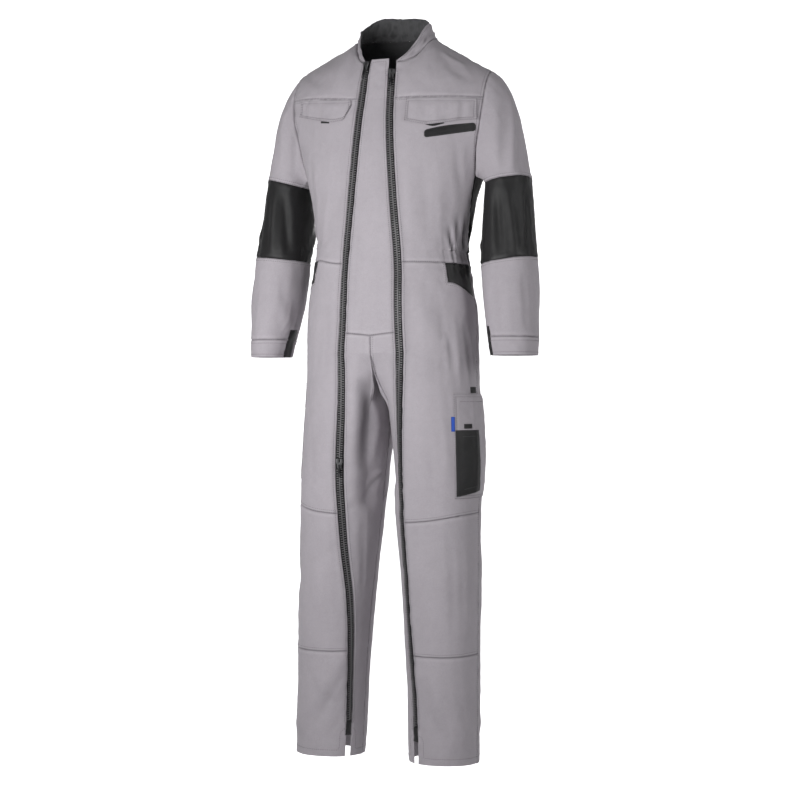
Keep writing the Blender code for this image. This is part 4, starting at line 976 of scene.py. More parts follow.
def seen(x, y):
    # the place on the suit that lies at a point of the camera's picture, or the nearest one inwards
    turn = math.radians(camera["turn"])
    forward = Vector((-math.sin(turn), math.cos(turn), 0))
    right = Vector((math.cos(turn), math.sin(turn), 0))
    eye = -forward * camera["distance"] + Vector((0, 0, camera["height"]))
    for inwards in np.linspace(0, focal["mostInwards"], focal["tries"]):
        across = mix(x, focal["middleX"], inwards)
        ray = forward * focal["width"] + right * (across - focal["middleX"]) + Vector((0, 0, focal["middleY"] - y))
        hit = skin.tree.ray_cast(eye, ray.normalized())
        if hit[0] is not None:
            return np.array(hit[0])
    raise ValueError(f"nothing is seen at {x}, {y}")


def limbPoint(part, side, angle, height):
    if part == "leg":
        row, turn = leg.at(height), math.radians(angle)
        x = row["middleX"] + row["halfWidth"] * math.sin(turn)
        place = vectors(x, row["middleY"] - row["halfDepth"] * math.cos(turn), height)
    elif part == "sleeve":
        place = sleeveRing(np.radians(angle), height, side)
    else:
        place = vectors(*ringPoint(trunk.at(height), np.radians(angle)), height)
    place = place * mirror[side]
    return np.array(skin.tree.find_nearest(Vector(place))[0])


# the main folds of each limb, as in the solids: from angle and height to angle and height, depth, half width
mainFolds = {
    "leg right": (
        (-52, 0.79, -60, 0.56, -0.012, 0.026), (-36, 0.76, -34, 0.56, 0.005, 0.02),
        (-30, 0.2, 35, 0.07, 0.007, 0.022), (-20, 0.12, 45, 0.03, -0.006, 0.02), (0, 0.44, 60, 0.38, -0.004, 0.026),
        (125, 0.47, 205, 0.43, -0.007, 0.028), (150, 0.69, 205, 0.77, -0.008, 0.026),
        (140, 0.13, 200, 0.08, 0.006, 0.024),
    ),
    "leg left": (
        (-50, 0.76, -62, 0.6, -0.006, 0.024), (-10, 0.19, 50, 0.08, 0.006, 0.024),
        (20, 0.42, 75, 0.35, -0.004, 0.026), (130, 0.48, 200, 0.42, -0.007, 0.028),
        (150, 0.7, 205, 0.77, -0.008, 0.026), (140, 0.14, 200, 0.07, 0.006, 0.024),
    ),
    "body left": (
        (20, 0.98, 48, 0.88, 0.004, 0.028), (130, 1.3, 160, 1.18, -0.006, 0.03),
    ),
    "body right": (
        (130, 1.3, 160, 1.18, -0.006, 0.03),
    ),
    "sleeve left": (
        (35, 1.2, 60, 1.08, 0.004, 0.022), (-60, 1.09, -130, 1.06, -0.005, 0.024), (60, 0.99, 110, 0.93, 0.003, 0.02),
    ),
    "sleeve right": (
        (60, 1.19, 95, 1.08, 0.004, 0.022), (-60, 1.09, -130, 1.06, -0.005, 0.024),
        (95, 0.96, 140, 0.905, 0.004, 0.018),
    ),
}


def toPath(points, path):
    # for each point, its distance from a path and how far along the path it is, from 0 to 1
    steps = np.linalg.norm(np.diff(path, axis=0), axis=1)
    total = steps.sum()
    best = np.full(len(points), np.inf)
    along = np.zeros(len(points))
    done = 0.0
    for start, end, step in zip(path, path[1:], steps):
        run = end - start
        t = np.clip((points - start) @ run / (run @ run), 0, 1)
        away = np.linalg.norm(points - start - t[:, None] * run, axis=1)
        nearer = away < best
        best[nearer] = away[nearer]
        along[nearer] = (done + t[nearer] * step) / total
        done += step
    return best, along


def pressMainFolds(points):
    moved = np.zeros(len(points))
    for limb, folds in mainFolds.items():
        for fromAngle, fromHeight, toAngle, toHeight, depth, halfWidth in folds:
            ends = ((fromAngle, fromHeight), (toAngle, toHeight))
            away, _ = toPath(points, np.array([limbPoint(*limb.split(), *end) for end in ends]))
            moved += depth * bell(away, halfWidth)
    return moved


# soft creases that show from the camera: three places on each, its height and half its width, in mm
frontCreases = (
    # centre panel
    (372, 75, 373, 120, 369, 190, 1.2, 6), (384, 70, 383, 130, 382, 200, -1.0, 6),
    (376, 66, 380, 70, 387, 72, 1.2, 4), (372, 84, 379, 88, 386, 86, -1.0, 4),
    (357, 210, 356, 270, 352, 320, -1.0, 8), (385, 220, 387, 280, 390, 325, 1.0, 8),
    # chest and belly
    (330, 150, 328, 200, 322, 250, 1.2, 9), (345, 140, 342, 190, 338, 240, -1.0, 7),
    (312, 150, 313, 190, 316, 235, -1.6, 8), (405, 150, 410, 200, 412, 252, 1.4, 8),
    (420, 160, 425, 200, 428, 250, -1.4, 8), (437, 150, 440, 190, 440, 245, 1.2, 9),
    (455, 140, 458, 170, 462, 205, -1.4, 8), (440, 50, 450, 58, 468, 68, 2.2, 6),
    (445, 62, 455, 72, 470, 80, -1.6, 8), (412, 75, 425, 85, 440, 90, -1.0, 9),
    (305, 75, 315, 82, 330, 88, -1.2, 9), (318, 64, 330, 72, 345, 78, 1.0, 8),
    # hips and thighs
    (320, 275, 318, 320, 314, 370, 1.2, 9), (330, 280, 329, 330, 326, 380, -1.2, 8),
    (405, 275, 408, 320, 408, 370, -1.4, 8), (420, 275, 424, 330, 424, 385, 1.4, 9),
    (436, 290, 441, 330, 444, 380, -1.6, 9), (452, 310, 457, 345, 461, 390, 2.2, 7),
    (463, 320, 468, 355, 472, 388, -2.6, 6), (470, 330, 472, 350, 474, 380, 2.0, 4),
    (446, 330, 450, 350, 453, 372, -1.8, 6), (358, 345, 352, 400, 350, 440, 1.6, 7),
    (385, 350, 392, 365, 396, 380, -1.2, 6), (410, 420, 415, 460, 416, 500, 1.0, 10),
    (425, 430, 430, 470, 430, 505, -1.2, 9), (440, 400, 446, 440, 447, 490, 1.2, 8),
    (310, 400, 313, 440, 315, 490, -1.2, 8), (325, 400, 326, 440, 326, 490, 1.2, 8),
    # knees and shins
    (312, 530, 318, 570, 316, 620, 1.2, 9), (330, 520, 334, 560, 335, 610, -1.4, 8),
    (425, 535, 432, 580, 434, 640, 1.2, 10), (448, 530, 452, 580, 452, 640, -1.4, 9),
    (465, 540, 468, 590, 467, 640, 1.2, 8), (306, 660, 318, 690, 336, 700, -1.4, 7),
    (346, 676, 333, 704, 318, 730, 2.0, 6), (346, 700, 338, 718, 326, 738, -1.6, 6),
    (308, 700, 316, 722, 322, 742, 1.2, 6), (430, 670, 442, 700, 460, 720, 1.4, 8),
    (425, 700, 438, 726, 452, 742, -1.2, 8), (462, 670, 466, 700, 470, 735, 1.0, 8),
    # right leg, inside
    (365, 376, 368, 415, 363, 470, -9.0, 14), (378, 390, 380, 425, 374, 470, 3.0, 8),
    (383, 472, 376, 482, 372, 494, -2.0, 5), (386, 466, 378, 476, 371, 486, 1.8, 5),
    (362, 500, 363, 560, 361, 620, -1.4, 7),
    # sleeves
    (508, 92, 513, 130, 512, 174, 3.4, 8), (500, 100, 503, 135, 500, 172, -2, 8),
    (524, 110, 528, 140, 527, 170, -1.6, 6), (508, 186, 512, 220, 516, 255, 4.2, 7),
    (496, 190, 498, 220, 500, 255, -3.8, 7), (525, 190, 527, 220, 528, 252, -3.2, 6),
    (505, 270, 508, 300, 509, 335, 1, 8), (495, 275, 497, 300, 500, 335, -0.9, 7),
    (523, 272, 525, 300, 526, 334, -0.9, 6), (288, 105, 283, 140, 280, 172, 2, 8),
    (297, 120, 294, 150, 294, 178, -2.2, 7), (276, 190, 274, 220, 272, 252, 3.8, 7),
    (285, 195, 286, 225, 288, 255, -3.8, 7), (265, 200, 262, 230, 260, 252, -2.9, 6),
    (270, 270, 268, 300, 264, 330, 1, 7), (282, 272, 282, 300, 276, 330, -1.1, 7),
    (258, 275, 256, 300, 254, 325, -0.8, 6), (292, 300, 288, 320, 280, 334, 1.1, 4),
    (296, 312, 290, 330, 284, 342, -1.1, 4), (278, 344, 272, 346, 262, 345, 0.6, 3),
)

# the same kind of creases where the camera doesn't look
hiddenCreases = {
    "leg left": (
        (100, 0.76, 110, 0.64, 2.0, 12), (120, 0.8, 140, 0.66, -2.4, 12), (165, 0.79, 170, 0.64, 2.4, 13),
        (120, 0.56, 175, 0.5, 3.0, 12), (110, 0.5, 165, 0.45, 2.4, 11), (150, 0.4, 205, 0.44, -2.6, 12),
        (130, 0.33, 150, 0.2, 1.8, 12), (175, 0.34, 185, 0.19, -2.0, 12), (120, 0.15, 180, 0.11, -2.0, 11),
        (100, 0.11, 150, 0.05, 1.8, 11), (205, 0.3, 215, 0.12, 1.6, 12), (240, 0.56, 250, 0.36, -1.8, 12),
    ),
    "leg right": (
        (105, 0.78, 115, 0.65, -2.0, 12), (130, 0.76, 150, 0.62, 2.4, 12), (170, 0.8, 180, 0.64, -2.2, 13),
        (115, 0.54, 170, 0.49, 2.8, 12), (120, 0.48, 180, 0.47, -2.4, 11), (140, 0.4, 200, 0.39, 2.2, 12),
        (125, 0.32, 140, 0.19, -1.8, 12), (170, 0.33, 195, 0.2, 2.0, 12), (115, 0.14, 175, 0.1, 2.0, 11),
        (95, 0.1, 140, 0.04, -1.8, 11), (210, 0.29, 220, 0.11, -1.6, 12), (90, 0.6, 95, 0.54, 1.8, 11),
    ),
    "body left": (
        (150, 1.34, 168, 1.24, 2.0, 14), (120, 1.23, 140, 1.12, -2.4, 12), (165, 1.2, 172, 1.11, 1.8, 12),
        (135, 1.02, 150, 0.9, 2.0, 13), (165, 1.0, 170, 0.9, -1.8, 13), (100, 1.2, 106, 1.11, 1.6, 10),
    ),
    "body right": (
        (150, 1.34, 168, 1.24, 2.0, 14), (122, 1.22, 142, 1.11, 2.2, 12), (160, 1.19, 168, 1.105, -1.8, 12),
        (140, 1.01, 152, 0.89, -2.0, 13), (100, 1.0, 108, 0.9, 2.0, 12), (100, 1.19, 106, 1.11, -1.6, 10),
    ),
    "sleeve left": (
        (-40, 1.2, -60, 1.1, 2.2, 9), (-90, 1.19, -120, 1.11, -2.2, 9), (-20, 1.05, -40, 0.93, 2.0, 9),
        (-80, 1.04, -110, 0.95, -2.0, 9), (-130, 1.16, -175, 1.09, 2.4, 8), (-60, 0.97, -100, 0.92, 1.8, 8),
    ),
    "sleeve right": (
        (-40, 1.19, -60, 1.09, -2.2, 9), (-90, 1.2, -115, 1.1, 2.2, 9), (-20, 1.05, -35, 0.93, -2.0, 9),
        (-85, 1.03, -115, 0.94, 2.0, 9), (10, 1.19, 20, 1.08, 2.0, 9), (0, 1.04, 10, 0.93, 1.8, 9),
        (-135, 1.15, -178, 1.085, 2.2, 8), (30, 1.12, -20, 1.07, 1.6, 8),
    ),
}


# how deep and wide the creases are made, how far the unseen ones sag, how much shade is painted into their troughs, and
# the soft unevenness of the cloth
creaseSize = dict(
    seenDepth=1.2, seenWidth=1.1, hiddenDepth=1.3, sag=0.012, reach=3.2, beside=1.9, besideShare=0.3, shade=0.22,
    shadeAt=0.004, deepShade=0.5, deepAt=0.009, deepFrom=0.45, broad=0.0015, broadScale=15.0, fine=0.0005,
    fineScale=55.0,
)
# the same for the folds that the elastic draws in, with the shade painted into them, and how far on the right side has
# them
gatherSize = dict(
    rightShift=0.17, depth=1.7, reach=5, narrow=0.62, widening=2.1, below=0.8, beside=2.2, besideShare=0.34,
    shadeAt=0.0030,
)


def crease(moved, paintedShade, points, path, depth, halfWidth):
    # one soft ridge or trough that fades at both ends, with a faint opposite one beside it, and painted shade in its
    # trough, darker where it is deep
    size = creaseSize
    reach = size["reach"] * halfWidth
    low, high = path.min(0) - reach, path.max(0) + reach
    chosen = np.nonzero(((points > low) & (points < high)).all(1))[0]
    away, along = toPath(points[chosen], path)
    fade = np.sin(math.pi * along) ** 0.7
    fade[(along <= 0) | (along >= 1)] = 0
    shape = bell(away, halfWidth) - size["besideShare"] * bell(away - size["beside"] * halfWidth, halfWidth)
    bump = depth * shape * fade
    moved[chosen] += bump
    # painted shade in the trough, and more in a deep one
    paintedShade[chosen] += size["shade"] * np.clip(-bump / size["shadeAt"], 0, 1)
    paintedShade[chosen] += size["deepShade"] * np.clip(-bump / size["deepAt"] - size["deepFrom"], 0, 1)


def draw(moved, paintedShade, points, path, depth, halfWidth, above):
    # a sharp fold between rounded cloth, which widens and fades away from the elastic, with painted shade in it
    size = gatherSize
    reach = size["reach"] * halfWidth
    low, high = path.min(0) - reach, path.max(0) + reach
    chosen = np.nonzero(((points > low) & (points < high)).all(1))[0]
    away, along = toPath(points[chosen], path)
    if above is None:
        wide, fade = halfWidth, np.sin(math.pi * np.clip(0.15 + 0.7 * along, 0, 1))
    else:
        wide = halfWidth * (size["narrow"] + size["widening"] * along)
        fade = smooth(1 - along) * (1.0 if above else size["below"])
        fade[(along <= 0) & (away > wide)] = 0
    shape = bell(away, wide) - size["besideShare"] * bell(away - size["beside"] * wide, wide)
    bump = -depth * size["depth"] * fade * shape
    moved[chosen] += bump
    # painted shade in the fold
    paintedShade[chosen] += np.clip(-bump / size["shadeAt"], 0, 1)


def softNoise(points, scale, seed, octaves=3):
    shift = Vector((seed * 7.3, seed * 3.1, seed * 5.7))
    return np.array([noise.fractal(Vector(p) * scale + shift, 0.7, 2.1, octaves) for p in points])


def seamEdges(quads, marks):
    # every edge between unlike pieces, with their marks, and every open edge, with -1 for its second mark
    edges = np.concatenate([quads[:, [k, (k + 1) % 4]] for k in range(4)])
    owner = np.tile(marks, 4)
    key = np.sort(edges, axis=1)
    order = np.lexsort((key[:, 1], key[:, 0]))
    key, owner = key[order], owner[order]
    same = (key[1:] == key[:-1]).all(1)
    differ = same & (owner[1:] != owner[:-1])
    lone = np.ones(len(key), bool)
    lone[1:] &= ~same
    lone[:-1] &= ~same
    pairs = np.stack([owner[1:][differ], owner[:-1][differ]], -1)
    alone = np.stack([owner[lone], np.full(lone.sum(), -1)], -1)
    return np.concatenate([key[1:][differ], key[lone]]), np.concatenate([pairs, alone])


def marksOf(*starts):
    return [index for index, name in enumerate(skin.names) if name.startswith(starts)]


def awayFrom(places, points):
    tree = kdtree.KDTree(len(places))
    for index, place in enumerate(places):
        tree.insert(place, index)
    tree.balance()
    return np.array([tree.find(point)[2] for point in points])


def distanceTo(points, edges, most):
    places = []
    for start, end in zip(points[edges[:, 0]], points[edges[:, 1]]):
        count = max(1, int(np.linalg.norm(end - start) / seamSize["spacing"]))
        places += [start + (end - start) * k / count for k in range(count)]
    return np.minimum(awayFrom(places, points), most)


seamSize = dict(
    spacing=0.0015, groove=0.0008, grooveWidth=0.0017, ridge=0.0006, ridgeAt=0.0048, ridgeWidth=0.003, pucker=0.0015,
    puckerScale=85.0, puckerReach=0.015, bandFold=0.0016, bandFoldWidth=0.0019, blouse=0.0026, blouseAt=0.011,
    blouseReach=0.045, sewnAt=0.0045, sewnWidth=0.0013, sewnSink=0.0007, sewnShade=0.30, foldRise=0.0011,
    foldAt=0.0030, foldWidth=0.0040, tapeSink=0.0005, collarCrinkle=0.0036, crinkleScale=95.0, collarShade=0.65,
    seamShade=0.5, seamShadeWidth=0.0014, rubbedAt=0.0040, rubbedWidth=0.0022, rubbed=0.8, rise=0.0085,
    riseEdge=0.005, riseReach=0.030,
)

# folds that the elastic draws in: where each starts on the band, how far its end leans in columns, its length above
# and below the band, its depth and its half width in mm
gathers = (
    (7.45, -0.22, 62, 24, 3.4, 2.6), (7.86, -0.12, 84, 34, 4.6, 3.0), (8.32, 0.10, 92, 26, 5.0, 3.0),
    (8.98, 0.22, 96, 36, 5.2, 3.2), (9.46, 0.10, 50, 22, 3.6, 2.8), (9.90, -0.06, 78, 38, 4.6, 3.0),
    (10.42, 0.16, 60, 24, 3.8, 2.8), (10.84, -0.10, 104, 42, 5.0, 3.2), (11.36, 0.10, 54, 28, 3.8, 2.8),
    (11.78, 0.18, 82, 46, 4.8, 3.0), (12.24, -0.14, 66, 26, 3.6, 2.8), (12.76, 0.08, 98, 40, 5.0, 3.2),
    (13.20, -0.08, 56, 30, 4.0, 2.8), (13.68, 0.20, 88, 44, 4.6, 3.2), (14.10, -0.12, 52, 24, 3.6, 2.8),
    (14.62, 0.10, 92, 36, 5.0, 3.2), (15.06, 0.06, 70, 48, 4.0, 2.8), (15.54, -0.18, 58, 26, 3.8, 2.8),
    (15.98, 0.12, 100, 42, 5.0, 3.2), (16.44, -0.06, 60, 30, 3.8, 2.8), (16.92, 0.16, 84, 40, 4.6, 3.0),
    (17.36, -0.12, 54, 24, 3.6, 2.8), (17.86, 0.08, 90, 44, 4.8, 3.2), (18.34, -0.08, 62, 28, 3.8, 2.8),
    (18.78, 0.04, 76, 36, 4.2, 3.0),
)


def creased(skin):
    points, normals = skin.base, pointNormals(skin.base, skin.quads)
    moved, paintedShade = np.zeros(len(points)), np.zeros(len(points))
    moved += pressMainFolds(points)
    deep, wide = creaseSize["seenDepth"] / 1000, creaseSize["seenWidth"] / 1000
    for x0, y0, x1, y1, x2, y2, depth, halfWidth in frontCreases:
        path = np.array([seen(x0, y0), seen(x1, y1), seen(x2, y2)])
        crease(moved, paintedShade, points, path, depth * deep, halfWidth * wide)
    share = np.linspace(0, 1, 5)
    for limb, folds in hiddenCreases.items():
        for fromAngle, fromHeight, toAngle, toHeight, depth, halfWidth in folds:
            heights = mix(fromHeight, toHeight, share) - creaseSize["sag"] * np.sin(math.pi * share)
            ends = zip(mix(fromAngle, toAngle, share), heights)
            path = np.array([limbPoint(*limb.split(), *end) for end in ends])
            crease(moved, paintedShade, points, path, creaseSize["hiddenDepth"] * depth / 1000, halfWidth / 1000)
    moved += creaseSize["broad"] * softNoise(points * np.array([1.0, 1.0, 0.5]), creaseSize["broadScale"], 1)
    moved += creaseSize["fine"] * softNoise(points, creaseSize["fineScale"], 2, 2)
    size = seamSize
    share = np.array([0.0, 0.3, 0.65, 1.0])
    for column, slant, above, below, depth, halfWidth in gathers:
        for side in ("left", "right"):
            at = column if side == "left" else column + gatherSize["rightShift"]
            for start, end, bend in ((seam["bandTop"], above / 1000, slant), (seam["waist"], -below / 1000, 0.1)):
                path = settled(bodyPoint(at + bend * share, start + end * share, side) * mirror[side])
                draw(moved, paintedShade, points, path, depth / 1000, halfWidth / 1000, end > 0)
            for across, deep in ((0.0, 1.0), (0.17, -0.7), (0.30, 0.8)):
                places = bodyPoint(at + across, np.linspace(seam["waist"], seam["bandTop"], 4), side)
                path = settled(places * mirror[side])
                draw(moved, paintedShade, points, path, deep * size["bandFold"], size["bandFoldWidth"], None)
    edges, owners = seamEdges(skin.quads, skin.marks)
    soft = np.isin(owners, marksOf("waistband")).any(1) & np.isin(owners, marksOf("chest")).any(1)
    over = points[:, 2] - seam["bandTop"] - size["blouseAt"]
    byBandTop = distanceTo(points, edges[soft], 0.05)
    moved += size["blouse"] * bell(over, size["blouseAt"]) * (byBandTop < size["blouseReach"])
    owners[soft] = -1
    closed, tapes = owners[:, 1] >= 0, np.isin(owners, marksOf("zip_tape"))
    away = distanceTo(points, edges[closed], 0.03)
    byTape = distanceTo(points, edges[closed & tapes.any(1)], 0.03)
    onTape = np.zeros(len(points), bool)
    onTape[np.unique(skin.quads[np.isin(skin.marks, marksOf("zip_tape"))])] = True
    moved[onTape & (byTape > 1e-4)] -= size["tapeSink"]
    moved += np.where(onTape, 0, size["foldRise"] * bell(byTape - size["foldAt"], size["foldWidth"]))
    sewnLine = np.where(onTape, 0, bell(byTape - size["sewnAt"], size["sewnWidth"]))
    moved -= size["sewnSink"] * sewnLine
    # painted shade along the sunk stitch line beside the zips
    paintedShade += size["sewnShade"] * sewnLine
    onCollar = np.zeros(len(points), bool)
    onCollar[np.unique(skin.quads[np.isin(skin.marks, marksOf("collar"))])] = True
    columns = np.concatenate([np.linspace(3, 6, 40), np.linspace(15, lastColumn, 60)])
    bands = [collarPoint(columns, collarBand, side) * mirror[side] for side in ("left", "right")]
    byBand = np.full(len(points), 1.0)
    byBand[onCollar] = awayFrom(settled(np.concatenate(bands)), points[onCollar])
    moved -= size["groove"] * bell(byBand, size["grooveWidth"])
    crinkle = softNoise(points[onCollar], size["crinkleScale"], 4, 2)
    moved[onCollar] += size["collarCrinkle"] * crinkle
    # painted shade in the hollows of the collar's crinkle
    paintedShade[onCollar] += np.clip(-crinkle, 0, 1) * size["collarShade"]
    moved -= size["groove"] * bell(away, size["grooveWidth"])
    moved += size["ridge"] * bell(away - size["ridgeAt"], size["ridgeWidth"])
    pucker = softNoise(points, size["puckerScale"], 3, 2)
    moved += size["pucker"] * pucker * np.exp(-away / size["puckerReach"])
    # painted shade along every seam
    paintedShade += size["seamShade"] * bell(away, size["seamShadeWidth"])
    skin.rubbed = bell(away - size["rubbedAt"], size["rubbedWidth"]) * size["rubbed"]
    skin.paintedShade = np.clip(paintedShade, 0, 1)
    skin.points = points + normals * moved[:, None]
    centre = skin.names.index("centre_front")
    centreTop = (owners == centre).any(1) & (owners[:, 1] < 0) & (points[edges[:, 0], 2] > seam["chest"])
    onCentre = np.unique(skin.quads[skin.marks == centre])
    places = points[np.unique(edges[centreTop])]
    byTop = np.linalg.norm(points[onCentre][:, None] - places[None], axis=2).min(1)
    fromTape = smooth(np.clip(byTape[onCentre] / size["riseEdge"], 0, 1))
    skin.points[onCentre, 2] += size["rise"] * fromTape * bell(byTop, size["riseReach"])
    skin.normals = pointNormals(skin.points, skin.quads)
    skin.edges, skin.owners = edges, owners


creased(skin)
skin.shape = BVHTree.FromPolygons(skin.points.tolist(), skin.triangles.tolist())
print("folds and creases pressed in")

# ---- the sewn pieces

down = np.array([0.0, 0.0, neckHeight])
cloth = dict(thickness=0.0011, drawnIn=0.00008, sunk=0.00025, apart=0.0003, leastCorner=0.45, sharp=60)


def finished(name, data, look, body="suit"):
    made = inScene(name, data)
    data.materials.clear()
    data.materials.append(looks[look])
    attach(made, body)
    return made


def edgeSteps(points, faces):
    # at each border point, the direction into the piece
    owners = {}
    for index, face in enumerate(faces.tolist()):
        for k in range(4):
            owners[face[k], face[(k + 1) % 4]] = index
    normal = faceNormals(points, faces)
    normal /= np.linalg.norm(normal, axis=1)[:, None]
    steps, border = {}, []
    for (a, b), index in owners.items():
        if (b, a) in owners:
            continue
        border.append((a, b))
        inward = np.cross(normal[index], points[b] - points[a])
        length = np.linalg.norm(inward)
        for end in (a, b):
            steps.setdefault(end, []).append(inward / max(length, 1e-9))
    return steps, border


def clothWall(name, outer, normals, quads, weave, rubbed, paintedShade, look):
    # a thin closed wall under the outer points
    count = len(outer)
    steps, border = edgeSteps(outer, quads)
    outer = outer.copy()
    for index, found in steps.items():
        total = np.sum(found, axis=0)
        total /= max(np.linalg.norm(total), 1e-9)
        corner = max(float(total @ found[0]), cloth["leastCorner"])
        outer[index] += cloth["drawnIn"] * total / corner - normals[index] * cloth["sunk"]
    inner = outer - normals * cloth["thickness"]
    cornerWeave = {}
    for face, uv in zip(quads.tolist(), weave):
        for k in range(4):
            cornerWeave[face[k]] = uv[k]
    faces = [face for face in quads.tolist()]
    faces += [[k + count for k in face[::-1]] for face in quads.tolist()]
    uvs = [uv for uv in weave] + [uv[::-1] for uv in weave]
    for a, b in border:
        faces.append([b, a, a + count, b + count])
        uvs.append(np.array([cornerWeave[b], cornerWeave[a], cornerWeave[a], cornerWeave[b]]))
    data = bpy.data.meshes.new(name)
    data.from_pydata((np.concatenate([outer, inner]) - down).tolist(), [], faces)
    layer = data.uv_layers.new(name="weave")
    layer.data.foreach_set("uv", np.concatenate(uvs).astype(np.float32).reshape(-1))
    none = np.zeros(count)
    # the painted shade and the rubbed wear at each point, and 1 on the inside faces, for the cloth's colour
    for key, front, back in (("rubbed", rubbed, rubbed), ("paintedShade", paintedShade, paintedShade), ("inside", none, none + 1)):
        mark = data.attributes.new(key, "FLOAT", "POINT")
        mark.data.foreach_set("value", np.concatenate([front, back]).astype(np.float32))
    data.shade_smooth()
    data.set_sharp_from_angle(angle=math.radians(cloth["sharp"]))
    data.validate()
    return finished(name, data, look)


def cutPiece(node, look, sink=0.0, marked=None):
    chosen = skin.marks == skin.names.index(marked or node)
    used, quads = np.unique(skin.quads[chosen], return_inverse=True)
    quads = quads.reshape(-1, 4)
    outer = skin.points[used] - skin.normals[used] * sink
    marks = (skin.rubbed[used], skin.paintedShade[used])
    made = clothWall("cloth_" + node, outer, skin.normals[used], quads, skin.weave[chosen], *marks, look)
    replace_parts(made, node)


def lookOf(node):
    if node.startswith("zip_tape"):
        return "tape"
    dark = ("back_yoke", "side_panel", "pocket_inset", "elbow", "placket", "hem_facing")
    return "black" if node.startswith(dark) else "grey"


for node in skin.names:
    cutPiece(node, lookOf(node))
cutPiece("collar_inner", "lining", sink=cloth["thickness"] + cloth["apart"], marked="collar_outer")
print("sewn pieces cut:", len(skin.names) + 1)


# ---- what lies on the cloth


class Surface:
    # something that other pieces lie on

    def __init__(self, points, normals, triangles):
        self.points, self.normals, self.triangles = points, normals, triangles
        self.tree = BVHTree.FromPolygons(points.tolist(), triangles.tolist())

    def cast(self, start, direction):
        # the place and the soft outward direction where a ray lands
        place, _, index, _ = self.tree.ray_cast(start, direction)
        if place is None:
            return None
        corners = self.triangles[index]
        shares = poly_3d_calc([Vector(self.points[k]) for k in corners], place)
        out = sum(share * self.normals[k] for share, k in zip(shares, corners))
        return np.array(place), out / np.linalg.norm(out)


suitSurface = Surface(skin.points, skin.normals, skin.triangles)


def carried(points):
    # moves places on the plain skin to the creased one
    places, outs = [], []
    for point in points:
        near, _, index, _ = skin.tree.find_nearest(Vector(point))
        corners = skin.triangles[index]
        shares = np.array(poly_3d_calc([Vector(skin.base[k]) for k in corners], near))
        places.append(shares @ skin.points[corners])
        out = shares @ skin.normals[corners]
        outs.append(out / np.linalg.norm(out))
    return np.array(places), np.array(outs)


def chestRay(across, height, side):
    sign = 1 if side == "left" else -1
    target = settled(np.array([[sign * across, 0.0, height]]))[0]
    return Vector((target[0], -1.0, target[2])), Vector((0.0, 1.0, 0.0))


thighAxis = (0.103, -0.003)


def thighRay(across, height, side):
    sign = 1 if side == "left" else -1
    turn = math.radians(across)
    out = (sign * math.sin(turn), -math.cos(turn))
    start = Vector((sign * thighAxis[0] + out[0], thighAxis[1] + out[1], height))
    return start, Vector((-out[0], -out[1], 0.0))


def bulge(full, across, height):
    if full is None:
        return 0.0
    shape, most = full
    row = shape.at(across)
    wide = np.clip((across - shape.keys[0]) / (shape.keys[-1] - shape.keys[0]), 0, 1)
    high = np.clip((height - row["bottom"]) / (row["top"] - row["bottom"]), 0, 1)
    return most * float(np.sin(math.pi * wide) * np.sin(math.pi * high) ** 0.7)


patchSize = dict(
    step=0.0042, near=[0.0006, 0.0020, 0.0050, 0.0085], touch=0.0004, radius=0.098, puffFrom=0.003, puffOver=0.012,
    sewn=0.0003, sewnAt=0.0052, sewnWidth=0.0016, sewnShade=0.0012, edge=0.0004, edgeWidth=0.0007, uneven=0.0007,
    unevenScale=55.0, unevenOver=0.010, freeOver=0.016, sideOver=0.008, sideTop=0.012, rubbedAt=0.0025,
    rubbedWidth=0.0022, rubbed=0.8, edgeShade=0.5, edgeShadeWidth=0.0009,
)


